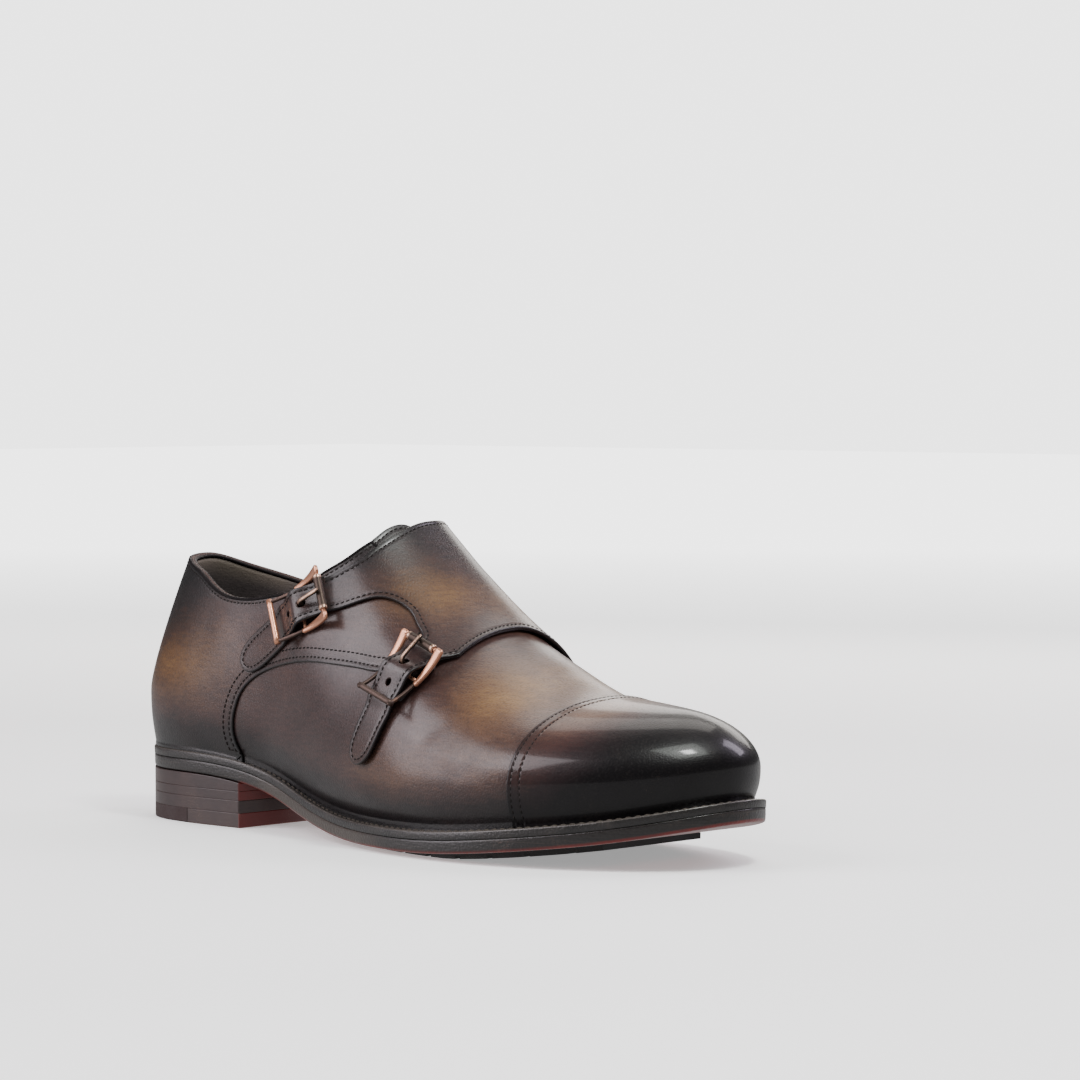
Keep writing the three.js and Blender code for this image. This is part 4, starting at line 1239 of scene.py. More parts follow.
# x, across
innerSeam = [
    [186.5, 1.497], [178, 1.515], [165, 1.540], [150, 1.575], [134, 1.612], [118, 1.650], [102, 1.690],
    [89, 1.730], [79, 1.785], [73, 1.850], [71, 1.92], [71, 2.0],
]
flapStart = 124.0  # where the inner topline turns over the instep
flapTop = [
    [129.6, 0.725], [132.4, 0.845], [132.8, 0.964], [131.9, 1.08], [129.6, 1.17],
]
flapFront = [
    [186.5, 1.470], [185.2, 1.380], [181.5, 1.230], [178.6, 1.080], [178.2, 0.950], [179.2, 0.840],
    [180.4, 0.740],
]
flapScallop = [[160.6, 0.718], [155, 0.734], [148.5, 0.722], [142.5, 0.690], [137, 0.640]]
strapTable = {
    # along the strap, beside its middle line, half its width
    "upper": [
        [16, 0, 7.6], [10, 0, 6.8], [0, 0, 6.8], [-9, -0.6, 6.8], [-18, -1.5, 6.8], [-28, -2.1, 6.7],
        [-35, -2.4, 5.8], [-39, -2.5, 3.8], [-41, -2.5, 0],
    ],
    "lower": [
        [15, -0.4, 7.6], [9, 0, 6.8], [0, 0, 6.8], [-9, 0, 6.8], [-17, 0, 6.8], [-23, 0.3, 6.8],
        [-28, 0.8, 6], [-30.6, 1.2, 4], [-32, 1.5, 0],
    ],
}


def strapEdges(name):
    right, left = [], []
    for along, beside, half in strapTable[name]:
        right.append(surfaceUnder(frames[name], along, beside - half))
        if half > 0:
            left.insert(0, surfaceUnder(frames[name], along, beside + half))
    return np.array(right + left, float).reshape(-1, 2)


def roundCurve(points):
    return evenly(smoothCurve(points), outlineStep)


quarterEnd = 127.6  # where the topline goes under the flap
hiddenEdge = [[128.4, 0.80], [129.3, 0.86], [131.5, 0.915], [137, 0.94], [150, 0.93], [164, 0.82]]


# outer quarter: heel back, topline, down inside the flap, seam, foot
def outerQuarterOutline():
    topline = toplineTo(quarterEnd)
    hidden = inChart(hiddenEdge)
    seam = roundCurve(quarterSeam)
    seam[0, 1] = footV
    back = straightTo((backU, footV), tuple(topline[0]))
    foot = straightTo((backU, footV), tuple(seam[0]))
    outline = joined(back, topline, roundCurve(hidden), seam[::-1], foot[::-1])
    return counterClockwise(evenly(outline, outlineStep, True))


# the inner quarter and the flap are one leather
def flapOutline():
    topline = toplineTo(flapStart, True)
    toRidge = smoothCurve(joined(topline[-6:-1:2], inChart(flapTop[::-1])))
    upper, lower = strapEdges("upper"), strapEdges("lower")
    crossing = smoothCurve(joined(
        inChart(flapTop[1::-1]),
        upper[::-1],
        inChart(flapScallop[::-1]),
        lower[::-1],
        inChart(flapFront[:-4:-1]),
    ))
    front = smoothCurve(inChart(flapFront[::-1]))
    seam = smoothCurve(inChart(innerSeam))
    seam[-1, 1] = 2 - footV
    foot = straightTo(tuple(seam[-1]), (backU, 2 - footV))
    back = straightTo((backU, 2 - footV), tuple(topline[0]))
    cut, meet = (
        np.linalg.norm((crossing - end) * chartShape, axis=1).argmin() for end in (toRidge[-1], front[0])
    )
    outline = joined(topline[:-6], toRidge[:-1], crossing[cut + 1:meet], front, seam, foot, back)
    return counterClockwise(evenly(outline, outlineStep, True))


vampRows = [
    [62, footV], [120, footV], [180, footV], [243, footV], [243, 0.5], [243, 1], [243, 1.5],
    [243, 2 - footV], [180, 2 - footV], [120, 2 - footV], [62, 2 - footV], [62, 1.80], [80, 1.66],
    [134, 1.5], [136, 1.25], [136, 1], [136, 0.75], [134, 0.56], [80, 0.40], [62, 0.22],
]


layers = {
    "lining": (0.0, 0.8),
    "vamp": (0.9, 2.1),
    "quarter": (2.15, 3.2),
    "flap": (3.25, 4.7),
    "cap": (2.15, 3.3),
    "tongue": (-2.2, -0.7),
}


# soft troughs and ridges of the hand-lasted leather: x, across at both ends, depth, half width
creases = [
    (182, 0.30, 196, 0.52, 0.30, 5.0),
    (196, 0.24, 208, 0.40, -0.16, 5.0),
    (204, 0.86, 207, 1.20, 0.14, 4.0),
    (98, 0.20, 122, 0.30, 0.28, 6.0),
    (46, 0.30, 60, 0.42, 0.22, 7.0),
    (176, 1.66, 192, 1.42, 0.30, 5.5),
    (150, 1.78, 168, 1.62, -0.18, 6.0),
    (92, 1.74, 116, 1.62, 0.26, 6.0),
    (146, 0.62, 160, 0.70, 0.20, 4.5),
    (134, 1.30, 150, 1.16, 0.18, 5.0),
]


creaseBend = 0.012  # how far a crease bows across
creaseReach = 34.0  # nothing sinks further than this from a crease's middle


def creaseLines():
    lines = []
    for xa, wa, xb, wb, depth, wide in creases:
        t = np.linspace(0, 1, 24)
        u = np.interp(t, [0, 1], [float(uAt(xa)), float(uAt(xb))])
        bend = creaseBend * np.sin(np.pi * t)
        lines.append((surface(u, wa + (wb - wa) * t + bend), np.sin(np.pi * t) ** 0.7, depth, wide))
    return lines


creaseLooks = creaseLines()


def creaseAt(u, w):
    p = surface(u, w)
    shape = p.shape[:-1]
    flatP = p.reshape(-1, 3)
    down = np.zeros(len(flatP))
    for line, fade, depth, wide in creaseLooks:
        close = np.abs(flatP - line[len(line) // 2]).max(1) < creaseReach
        if close.any():
            d = np.linalg.norm(flatP[close][:, None] - line[None], axis=-1)
            down[close] += depth * (np.exp(-(d / wide) ** 2) * fade[None]).max(1)
    return down.reshape(shape)


def constant(value):
    return lambda u, w: np.full(np.shape(u), value)


# a leather face that follows the creases
def creased(value):
    return lambda u, w: value - creaseAt(u, w)


# how far the flap has come down to the quarter's thickness: across, x from behind, across near the ridge
flapBlend = {"inner": (1.20, 1.50), "behind": (96.0, 128.0), "ridge": (1.0, 1.1), "strapSide": 1.05}


def flapLevel(u, w, face):
    ease = smoothStep(w, *flapBlend["inner"])
    back = 1 - smoothStep(feather(u)[..., 0], *flapBlend["behind"])
    ease = np.maximum(ease, back * smoothStep(w, *flapBlend["ridge"]))
    over, level = layers["flap"][face], layers["quarter"][face]
    return over + (level - over) * ease + liftAt(u, w) * (w < flapBlend["strapSide"])


def flapTopAt(u, w):
    return flapLevel(u, w, 1) - creaseAt(u, w)


def flapBaseAt(u, w):
    return flapLevel(u, w, 0)


def holeLoop(name, s, radius, corners=20):
    a = np.linspace(0, 2 * np.pi, corners, endpoint=False)
    u, w = surfaceUnder(frames[name], s + radius * np.cos(a), radius * np.sin(a))
    return counterClockwise(np.stack([u, w], -1))


strapHoles = [(2.6, 1.5), (-5.2, 1.15)]  # place along the strap from the centre bar, radius
stitchLooks = {
    "fromEdge": 1.9,
    "secondRow": 3.3,  # from the first row to the second
    "pitch": 2.2,
    "depth": 0.20,
    "length": 1.65,
    "radius": 0.30,
    "lean": 0.10,
    "proud": (0.12, 0.28),  # how far the first and the second row stand out of the groove
    "aboveWelt": 3.0,  # no stitches lower than this
    "fromBack": 2.6,  # and none on the heel's back seam
}

outerQuarter = outerQuarterOutline()
flap = flapOutline()
vamp = counterClockwise(evenly(inChart(vampRows), 2 * outlineStep, True))
groove = (stitchLooks["fromEdge"], stitchLooks["depth"], stitchLooks["pitch"])
quarterOff = creased(layers["quarter"][1])
flapHoles = [holeLoop(name, *hole) for hole in strapHoles for name in frames]
calf = (leathers["upperLeather"], leatherTone, "upper_leather")
addPanel("vamp", vamp, creased(layers["vamp"][1]), constant(layers["vamp"][0]), *calf, ("upper",),
         spacing=2.6)
addPanel("outer_quarter", outerQuarter, quarterOff, constant(layers["quarter"][0]), *calf, groove=groove)
addPanel("flap_and_inner_quarter", flap, flapTopAt, flapBaseAt, *calf, ("flap_with_straps",), groove=groove,
         holes=flapHoles, spacing=1.9)


# ---- toe cap: one piece over the toe, welded along the ridge and the toe's middle line
capTable = {
    "seamX": 229.6,
    "rows": 150,
    "columns": 84,
    "crowd": 0.85,  # columns lie closer towards the toe
    # rows of vertices behind the edge
    "edge": [0.0, 0.1, 0.25, 0.45, 0.8, 1.1, 1.4, 1.7, 2.0, 2.4,
             2.9, 3.5, 3.9, 4.3, 4.6, 4.9, 5.2, 5.6, 6.1, 6.8],
    "stitches": (1.5, 4.7),  # two rows, measured from the cap's rear edge
    "depth": 0.20,
    "grooveHalf": 0.36,
    "pucker": 0.25,
    "swell": (0.22, 0.9),  # the leather swells between the rows: height, half width
    "shadeReach": 2.8,
    "threadSunk": 0.10,
}


# feather place at which the surface crosses a plane of constant x
def planeCut(w, x, low=200.0, high=262.0, halvings=40):
    a, b = np.full(w.shape, float(uAt(low))), np.full(w.shape, float(uAt(high)))
    for _ in range(halvings):
        mid = (a + b) / 2
        ahead = surface(mid, w)[..., 0] > x
        a, b = np.where(ahead, a, mid), np.where(ahead, mid, b)
    return (a + b) / 2


def makeToeCap(t):
    inner, outer = layers["cap"]
    ws = np.linspace(footV, 2 - footV, t["rows"])
    rear = planeCut(np.clip(ws, 0, 2), t["seamX"])
    length = np.linalg.norm(surface(rear + 1, ws) - surface(rear, ws), axis=1)
    edge = np.array(t["edge"])
    near = rear[:, None] + edge[None] / length[:, None]
    start = near[:, -1:]
    rest = np.linspace(0, 1, t["columns"])[None, 1:] ** t["crowd"]
    u = np.hstack([near, start + (toeChord - start) * rest])
    w = np.repeat(ws[:, None], u.shape[1], 1)
    rows, columns = u.shape
    d = np.full(u.shape, 99.0)  # far from the edge, apart from the first rows
    d[:, :len(edge)] = edge
    pucker = 1 - t["pucker"] * (1 - np.cos(2 * np.pi * runAlong(surface(rear, ws)) / stitchLooks["pitch"]))
    down = dropAt(d, panelLook["round"])
    for at in t["stitches"]:
        down += t["depth"] * np.exp(-((d - at) / t["grooveHalf"]) ** 2) * pucker[:, None]
    swell, half = t["swell"]
    down -= swell * np.exp(-((d - sum(t["stitches"]) / 2) / half) ** 2)
    top = surface(u, w, outer - down).reshape(-1, 3)
    bottom = surface(u, w, inner).reshape(-1, 3)
    n = rows * columns
    faces = gridFaces(rows, columns)
    faces += [[k + n for k in face][::-1] for face in faces]
    index = np.arange(n).reshape(rows, columns)
    for rim in (index[:, 0], index[0, ::-1], index[-1]):
        faces += [[int(a), int(b), int(b) + n, int(a) + n] for a, b in zip(rim[:-1], rim[1:])]
    values = leatherTone(top)
    far = d.reshape(-1)
    values["glow"] = values["glow"] - panelLook["shade"] * np.exp(-far / t["shadeReach"])
    values["ink"] = 1 - smoothStep(far, *panelLook["inked"])
    values = {key: np.concatenate([data, data]) for key, data in values.items()}
    normals = np.full((2 * n, 3), np.nan)
    flat = (down < 1e-3).reshape(-1)
    normals[:n] = np.where(flat[:, None], surfaceNormal(u, w).reshape(-1, 3), np.nan)
    values.update(zip(("nx", "ny", "nz"), normals.T))
    points, faces, values = weld(np.vstack([top, bottom]), faces, values)
    normals = np.stack([values.pop(key) for key in ("nx", "ny", "nz")], -1)
    return points, faces, normals, values


points, faces, normals, values = makeToeCap(capTable)
cap = addMesh("toe_cap_leather", points, faces, leathers["capLeather"], normals, values)
place(cap, "cap_leather", "toe_cap")
print("toe cap", len(points))


# ---- lining, a closed shell open at the collar
liningLook = {
    "back": 80,  # columns behind the throat on each side
    "crowd": 0.9,
    "front": 60,
    "rows": 44,
    "paleBelow": (0.02, 0.09),  # worn pale just under the topline
    "paleHeel": (38, 46),  # and most of all at the heel
    "paleLoss": 0.65,
}


# places all round the last, from those of the outer side
def allRound(outer):
    return np.concatenate([outer, np.interp(outer[::-1], fineU, innerOf)[1:-1]])


def makeLiningShell(t):
    throat = float(uAt(collar["throatX"]))
    back = throat * np.linspace(0, 1, t["back"]) ** t["crowd"]
    outerChords = np.concatenate([back, np.linspace(throat, toeChord, t["front"])[1:]])
    q = allRound(outerChords)
    isInner = np.arange(len(q)) >= len(outerChords)
    top = collarV(feather(q)[:, 0], False) * ~isInner + collarV(feather(q)[:, 0], True) * isInner
    rows = np.linspace(0, 1, t["rows"])
    v = footV + (top[None] - footV) * rows[:, None]
    q = np.repeat(q[None], len(rows), 0)
    inside, outside = (lastPoint(q, v) + lastNormal(q, v) * off for off in layers["lining"])
    stack = np.concatenate([outside, inside[::-1]])
    count, columns = stack.shape[:2]
    points = stack.reshape(-1, 3)
    closed = top > 0.9999  # ahead of the throat the two sides meet
    faces = []
    for k in range(count):
        for i in range(columns):
            j = (i + 1) % columns
            if k == len(rows) - 1 and closed[i] and closed[j]:
                continue
            a, b = k * columns, ((k + 1) % count) * columns
            faces.append([a + i, a + j, b + j, b + i])
    belowTop = np.abs(np.arange(count) - len(rows) + 0.5) / len(rows)
    pale = (1 - smoothStep(belowTop, *t["paleBelow"]))[:, None]
    pale = pale * (1 - t["paleLoss"] * smoothStep(stack[..., 0], *t["paleHeel"]))
    return weld(points, faces, {"pale": pale.reshape(-1)})


points, faces, values = makeLiningShell(liningLook)
place(addMesh("lining", points, faces, lining, values=values), "lining_leather", "upper")
print("lining", len(points))


# a bead that wraps the cut edges of lining and leather along the topline
beadLook = {
    "low": -0.1,
    "high": 3.3,
    "height": 0.45,
    "below": 0.9,
    "sides": 12,
    "steps": 260,
    "crowd": 1.5,
    "stop": 0.79,  # how far up the flap it runs
    "shine": (0.04, 0.38, 8),  # painted highlight along the bead's crest: at the sides, more at the middle, how narrow
}


def makeTopBead(look):
    throat = float(uAt(collar["throatX"]))
    us = throat * (1 - (1 - np.linspace(0, 1, look["steps"])) ** look["crowd"])
    x = feather(us)[:, 0]
    path = []
    for inner in (False, True):
        v = collarV(x, inner)
        keep = v < look["stop"]
        q = np.interp(us[keep], fineU, innerOf) if inner else us[keep]
        path.append(np.stack([q, v[keep]], -1))
    ring = np.vstack([path[0][::-1], path[1][1:]])
    q, v = ring.T
    base = lastPoint(q, v)
    normal = lastNormal(q, v)
    tangent = np.gradient(base, axis=0)
    tangent /= np.linalg.norm(tangent, axis=1, keepdims=True)
    upward = np.cross(tangent, normal)
    upward *= np.sign(upward[:, 2:3])
    a = np.linspace(0, np.pi, look["sides"])
    middle, half = (look["low"] + look["high"]) / 2, (look["high"] - look["low"]) / 2
    offs = np.concatenate([[look["high"]], middle + half * np.cos(a), [look["low"]]])
    ups = np.concatenate([[-look["below"]], look["height"] * np.sin(a) ** 0.7, [-look["below"]]])
    grid = base[:, None] + normal[:, None] * offs[None, :, None] + upward[:, None] * ups[None, :, None]
    rows, columns = grid.shape[:2]
    points = grid.reshape(-1, 3)
    faces = [f[::-1] for f in gridFaces(rows, columns, closeColumns=True)]
    faces += [list(range(columns)), list(range((rows - 1) * columns, rows * columns))[::-1]]
    tone = leatherTone(points)
    side, more, narrow = look["shine"]
    # painted highlight: the bead is lighter along its crest than at its sides
    tone["glow"] = np.tile(side + more * np.sin(np.linspace(0, np.pi, columns)) ** narrow, rows)
    tone["ink"] = np.zeros(len(points))
    return points, facingOut(points, faces), tone


points, faces, values = makeTopBead(beadLook)
place(addMesh("topline_edge", points, faces, leathers["edgeLeather"], values=values), "upper_leather")

tongueTable = [
    [138, 0.8], [136.5, 0.92], [136.5, 1.08], [138, 1.2], [150, 1.27],
    [185, 1.3], [190, 1.2], [190, 0.8], [185, 0.7], [150, 0.73],
]
tongueOutline = counterClockwise(evenly(smoothCurve(inChart(tongueTable), True), 1.2, True))
tongueBase, tongueTop = (constant(level) for level in layers["tongue"])
addPanel("tongue_leather", tongueOutline, tongueTop, tongueBase, lining, plainTone, "lining_leather",
         ("tongue",), spacing=3.0)
print("upper ready")


# ---- sole
soleTable = {
    "gap": 0.3,
    "weltThick": 3.2,
    "soleThick": 5.1,
    "heelRim": 3.7,
    "foreRim": 7.2,
    "rimFrom": 70.0,
    "rimTo": 170.0,
    "ledge": 5.0,
    "columns": 240,
    "redFrom": (69, 73),
    "toeRed": (215, 285, 0.55),  # from, to, how much further the red comes up the edge
    "waist": (74, 92, 150, 178),
}


def rimOf(x):
    t = soleTable
    return t["heelRim"] + (t["foreRim"] - t["heelRim"]) * smoothStep(x, t["rimFrom"], t["rimTo"])


def planPoint(q, outward):
    a, b = feather(q - nudge)[..., :2], feather(q + nudge)[..., :2]
    along = b - a
    along /= np.linalg.norm(along, axis=-1, keepdims=True)
    f = feather(q)
    return np.stack([f[..., 0] + along[..., 1] * outward, f[..., 1] - along[..., 0] * outward], -1)


soleChords = allRound(np.linspace(0, toeChord, soleTable["columns"] // 2 + 1))


# one ring of the sole, inset from its rim or from the feather line, at a depth under the welt's top
def soleRing(inset, drop, fromRim=True):
    outward = rimOf(feather(soleChords)[:, 0]) - inset if fromRim else np.full(len(soleChords), -inset)
    p = planPoint(soleChords, outward)
    return np.column_stack([p, treadZ(p[:, 0]) - drop])


# rings joined into a closed solid; full ends are filled across between facing points
def ringsToMesh(rings, closeLoop=False):
    n = len(rings[0])
    points = np.vstack(rings)
    faces = []
    count = len(rings) if closeLoop else len(rings) - 1
    for k in range(count):
        a, b = k * n, ((k + 1) % len(rings)) * n
        faces += [[a + i, a + (i + 1) % n, b + (i + 1) % n, b + i] for i in range(n)]
    if not closeLoop:
        for start, turned in ((0, True), ((len(rings) - 1) * n, False)):
            for i in range(n // 2):
                quad = [start + i, start + i + 1, start + (n - i - 1) % n, start + (n - i) % n]
                quad = list(dict.fromkeys(quad))
                faces.append(quad[::-1] if turned else quad)
    return points, faces


def makeWelt(t):
    thick = t["weltThick"]
    # inset from the rim, depth under the welt's top, how much painted highlight it gets
    profile = [
        (0.3, thick, 0), (0.14, thick - 0.06, 0), (0.08, thick - 0.3, 0), (0, 0.75, 0.1), (0.12, 0.38, 0.7),
        (0.4, 0.12, 0.9), (0.8, 0.0, 0.3), (1.25, 0.02, 0.05), (1.7, 0.16, 0), (2.1, 0.24, 0),
        (2.5, 0.16, 0), (2.95, 0.02, 0), (3.4, 0.0, 0),
    ]
    rings = [soleRing(inset, drop) for inset, drop, rubAndPaintedHighlight in profile]
    rings += [soleRing(t["ledge"], drop, False) for drop in (0.0, thick)]
    paintedHighlights = [rubAndPaintedHighlight for inset, drop, rubAndPaintedHighlight in profile] + [0, 0]
    points, faces = ringsToMesh(rings, True)
    return points, faces, {"edge": np.repeat(paintedHighlights, len(soleChords))}


def makeOutsole(t):
    under = t["weltThick"] + t["soleThick"]
    top = t["weltThick"] + 0.12
    # inset from the rim, depth under the welt's top, how red
    profile = [
        (9.0, under, 1), (3.0, under, 1), (1.5, under, 1), (1.0, under - 0.08, 1), (0.55, under - 0.3, 0.9),
        (0.3, under - 0.75, 0.25), (0.22, under - 1.4, 0), (0.16, under - 2.6, 0), (0.14, top + 0.9, 0),
        (0.16, top + 0.3, 0), (0.34, top + 0.03, 0), (1.4, top, 0),
    ]
    rings = [soleRing(inset, drop) for inset, drop, red in profile]
    rings += [soleRing(t["ledge"] + t["gap"], drop, False) for drop in (top, 0)]
    reds = [red for inset, drop, red in profile] + [0, 0]
    x = feather(soleChords)[:, 0]
    low, high, more = t["toeRed"]
    toe = more * smoothStep(x, low, high)
    waistIn, waistFull, waistFade, waistOut = t["waist"]
    waist = smoothStep(x, waistIn, waistFull) * (1 - smoothStep(x, waistFade, waistOut))
    ahead = smoothStep(x, *t["redFrom"])
    edge = range(1, 6)  # the rings of the sole's edge
    under = np.concatenate([np.clip(red + toe * (k in edge), 0, 1) * ahead for k, red in enumerate(reds)])
    points, faces = ringsToMesh(rings)
    return points, faces, {"under": under, "waist": np.tile(waist, len(rings))}


def makeInsole(t):
    # inset from the feather line, height over the welt's top
    profile = [(1.2, t["gap"]), (0.7, 0.8), (0.7, 2.4), (1.0, 2.85), (1.8, 3.0), (9.0, 3.02)]
    points, faces = ringsToMesh([soleRing(inset, -height, False) for inset, height in profile])
    return points, faces, {"pale": np.full(len(points), 0.25)}


soleParts = (
    ("welt_strip", makeWelt, weltLeather, "welt_leather", "welt"),
    ("outsole_leather", makeOutsole, soleLeather, "sole_leather", "outsole"),
    ("insole_sock", makeInsole, lining, "lining_leather", "insole"),
)
for name, maker, material, slotName, node in soleParts:
    points, faces, values = maker(soleTable)
    place(addMesh(name, points, faces, material, values=values), slotName, node)
print("sole ready")


# ---- heel
heelTable = {
    "breast": 71.0,
    "rubberFront": 41.0,
    "rubberGap": 0.15,
    "inset": 0.3,
    "tops": [5.7, 10.6, 14.3],
    "hairline": 0.08,  # between two lifts
    "steps": 70,
    "bevel": 0.35,
    "joint": 0.06,
    "support": 0.25,  # a ring next to each edge keeps the wall's shading flat
    "inside": 3.0,
    "seamTone": 0.15,
    "redEdge": (0.8, 0.3),
}


def rimChordAt(x, inner, halvings=50):
    low, high = (around, toeChord) if inner else (0.0, toeChord)
    for _ in range(halvings):
        mid = (low + high) / 2
        here = planPoint(np.array(mid), rimOf(feather(mid)[0]))[0]
        low, high = (mid, high) if here < x else (low, mid)
    return (low + high) / 2


def underSole(x):
    t = soleTable
    return treadZ(x) - t["weltThick"] - t["soleThick"] - t["gap"]


# outline of the heel between two x values, drawn in by inset all round
def heelRing(rearX, frontX, inset, heightAt, up):
    t = heelTable
    sides = []
    for inner in (False, True):
        start = (around if inner else 0.0) if rearX is None else rimChordAt(rearX, inner)
        q = start + (rimChordAt(frontX, inner) - start) * np.linspace(0, 1, t["steps"] + 1)
        p = planPoint(q, rimOf(feather(q)[:, 0]) - t["inset"] - inset)
        p[-1, 0] = frontX - inset
        if rearX is not None:
            p[0, 0] = rearX + inset
        p[:, 0] = np.minimum(p[:, 0], frontX - inset)
        sides.append(p)
    inner = sides[1][::-1]
    ring = np.vstack([sides[0], inner[:-1] if rearX is None else inner])
    return np.column_stack([ring, heightAt(ring[:, 0]) + up])


def heelSlab(rearX, frontX, low, high, red):
    t = heelTable

    def lowAt(x):
        return np.full(np.shape(x), float(low))

    def highAt(x):
        return underSole(x) if high is None else np.full(np.shape(x), float(high))

    joint, support = t["joint"], t["support"]
    bevel = joint if low else t["bevel"]  # the piece on the floor has the softer edge
    # inset, which face, height from it, seam, underside
    profile = [
        (t["inside"], lowAt, 0, 0, 1), (bevel, lowAt, 0, 0, 1), (0.3 * bevel, lowAt, 0.3 * bevel, 1, 0.4),
        (0, lowAt, bevel, 0, 0), (0, lowAt, bevel + support, 0, 0), (0, highAt, -joint - support, 0, 0),
        (0, highAt, -joint, 0, 0), (joint, highAt, 0, 1, 0), (t["inside"], highAt, 0, 0, 0),
    ]
    rings = [heelRing(rearX, frontX, inset, heightAt, up) for inset, heightAt, up, seam, under in profile]
    n = len(rings[0])
    points = np.vstack(rings)
    faces = gridFaces(len(rings), n, closeColumns=True)
    faces += [list(range(n))[::-1], list(range((len(rings) - 1) * n, len(rings) * n))]
    seam, under = np.repeat(np.array([row[3:] for row in profile], float), n, axis=0).T
    front = smoothStep(points[:, 0], *(frontX - np.array(t["redEdge"]))) * red
    return points, faces, {"seam": seam * t["seamTone"], "under": under, "breast": front, "stain": 1 - under}


h = heelTable
first, second, third = h["tops"]
# name, from x, to x, from z, to z (or up to the sole), material, slot, node, a red breast
lifts = [
    ("heel_rubber", None, h["rubberFront"], 0, first, rubber, "rubber", "top_lift_rubber", 0),
    ("heel_top_piece", h["rubberFront"] + h["rubberGap"], h["breast"], 0, first, heelLeather, "heel_leather",
     "top_lift_leather", 1),
    ("heel_lift_one", None, h["breast"], first + h["hairline"], second, heelLeather, "heel_leather",
     "heel_lift_lower", 0),
    ("heel_lift_two", None, h["breast"], second + h["hairline"], third, heelLeather, "heel_leather",
     "heel_lift_middle", 1),
    ("heel_lift_three", None, h["breast"], third + h["hairline"], None, heelLeather, "heel_leather",
     "heel_lift_seat", 1),
]
for name, rearX, frontX, low, high, material, slotName, node, red in lifts:
    points, faces, values = heelSlab(rearX, frontX, low, high, red)
    place(addMesh(name, points, faces, material, values=values), slotName, node)
print("heel ready")

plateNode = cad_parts["forefoot_plate"]
plateNode.data.materials.clear()
plateNode.data.materials.append(rubber)


# ---- buckles, in each strap's own frame
buckleLook = {
    "length": 26.0,
    "width": 17.9,
    "bow": 3.0,
    "barHeight": 4.8,
    "side": 2.5,
    "plate": (2.0, 3.9),  # side plate's width from the middle to the front
    "plateRun": (-0.14, 1.0),  # in half lengths
    "plateRub": 0.8,
    "rail": (1.4, 1.4),  # the thinner rear half
    "railRun": (-1.0, 0.1),
    "railThick": 0.8,  # against the plate
    "sideThick": 1.7,
    "endRound": (0.06, 0.75),
    "overhang": 0.4,
    "barRadius": 0.8,
    "rearThicker": 0.3,
    "barOver": 0.6,  # the outer bars reach into the sides
    "barUnder": 1.0,  # the centre bar stays short of them
    "rearRub": {"upper": 0.45, "lower": -0.7},  # how polished the rear bar is
    "frontRub": 0.35,
    # the upper half of each bar's section is brighter: partly polish on high points, partly painted highlight
    "topPolishAndHighlight": 0.3,
    "rollerInner": 1.1,
    "rollerOuter": 1.7,
    "rollerLength": 14.4,
    "rollerBead": 0.3,
    "rollerRub": (0.75, 0.2, 0.8),  # at the ends, between them, length of the ends
    "prongWide": 1.7,
    "prongThick": 1.3,
    "prongOver": 0.45,  # above the roller
    "prongTip": (0.93, 0.5),  # where it tapers, and how much
    "eyeGap": 0.25,
    "eyeThick": 0.6,
}
b = buckleLook
upZ = np.array([0, 0, 1.0])


def bowAt(s):
    return b["bow"] * (s / (b["length"] / 2)) ** 2


def fromBuckle(name, local):
    f = frames[name]
    local = np.asarray(local, float)
    return f["origin"] + local[:, :1] * f["along"] + local[:, 1:2] * f["side"] + local[:, 2:] * f["normal"]


def roundedSection(width, height, power=3.2, sides=20):
    a = np.linspace(0, 2 * np.pi, sides, endpoint=False)
    both = np.stack([np.cos(a), np.sin(a)], -1)
    return np.sign(both) * np.abs(both) ** (2 / power) * (width, height) / 2


# a section carried along a path; scales shrinks it all round, wide only sideways
def sweep(path, section, up, scales=1.0, wide=1.0):
    path = np.asarray(path, float)
    tangent = np.gradient(path, axis=0)
    tangent /= np.linalg.norm(tangent, axis=1, keepdims=True)
    side = np.cross(np.broadcast_to(up, path.shape), tangent)
    side /= np.linalg.norm(side, axis=1, keepdims=True)
    top = np.cross(tangent, side)
    scales, wide = (np.broadcast_to(size, len(path))[:, None, None] for size in (scales, wide))
    flat = side[:, None] * section[None, :, :1] * wide
    grid = path[:, None] + (flat + top[:, None] * section[None, :, 1:]) * scales
    rows, columns = grid.shape[:2]
    faces = gridFaces(rows, columns, closeColumns=True)
    faces += [list(range(columns))[::-1], list(range((rows - 1) * columns, rows * columns))]
    high = np.tile(np.clip(section[:, 1] / (np.abs(section[:, 1]).max() + tiny), 0, 1), rows)
    return grid.reshape(-1, 3), faces, high


def mergeParts(parts):
    points, faces, values = [], [], []
    at = 0
    for p, f, v in parts:
        points.append(p)
        faces += [[k + at for k in face] for face in facingOut(p, f)]
        values.append(v)
        at += len(p)
    return np.vstack(points), faces, np.concatenate(values)


# a wide polished plate in the front half and a thin rail in the rear half, left dull as painted shade
def sideBars(y):
    reach = b["length"] / 2 + b["barRadius"] + b["overhang"]
    inner = (b["width"] - b["side"]) / 2
    endLength, endRound = b["endRound"]
    parts = []
    # the rail gets no polish: painted shade on the rear half that lies against the leather
    halves = ((b["plateRun"], b["plate"], 1.0, b["plateRub"]), (b["railRun"], b["rail"], b["railThick"], 0.0))
    for run, widths, thick, polishAndPaintedLight in halves:
        t = np.linspace(0, 1, 31)
        s = reach * (run[0] + (run[1] - run[0]) * t)
        wide = np.interp(t, [0, 1], widths)
        path = np.stack([s, y * (inner + wide / 2), b["barHeight"] + bowAt(s)], -1)
        rounded = np.sqrt(1 - (1 - np.clip(np.minimum(t, 1 - t) / endLength, 0, 1)) ** 2 * endRound)
        section = roundedSection(1.0, b["sideThick"] * thick, 3.4)
        points, faces, _ = sweep(path, section, upZ, rounded, wide)
        parts.append((points, faces, np.full(len(points), polishAndPaintedLight)))
    return parts


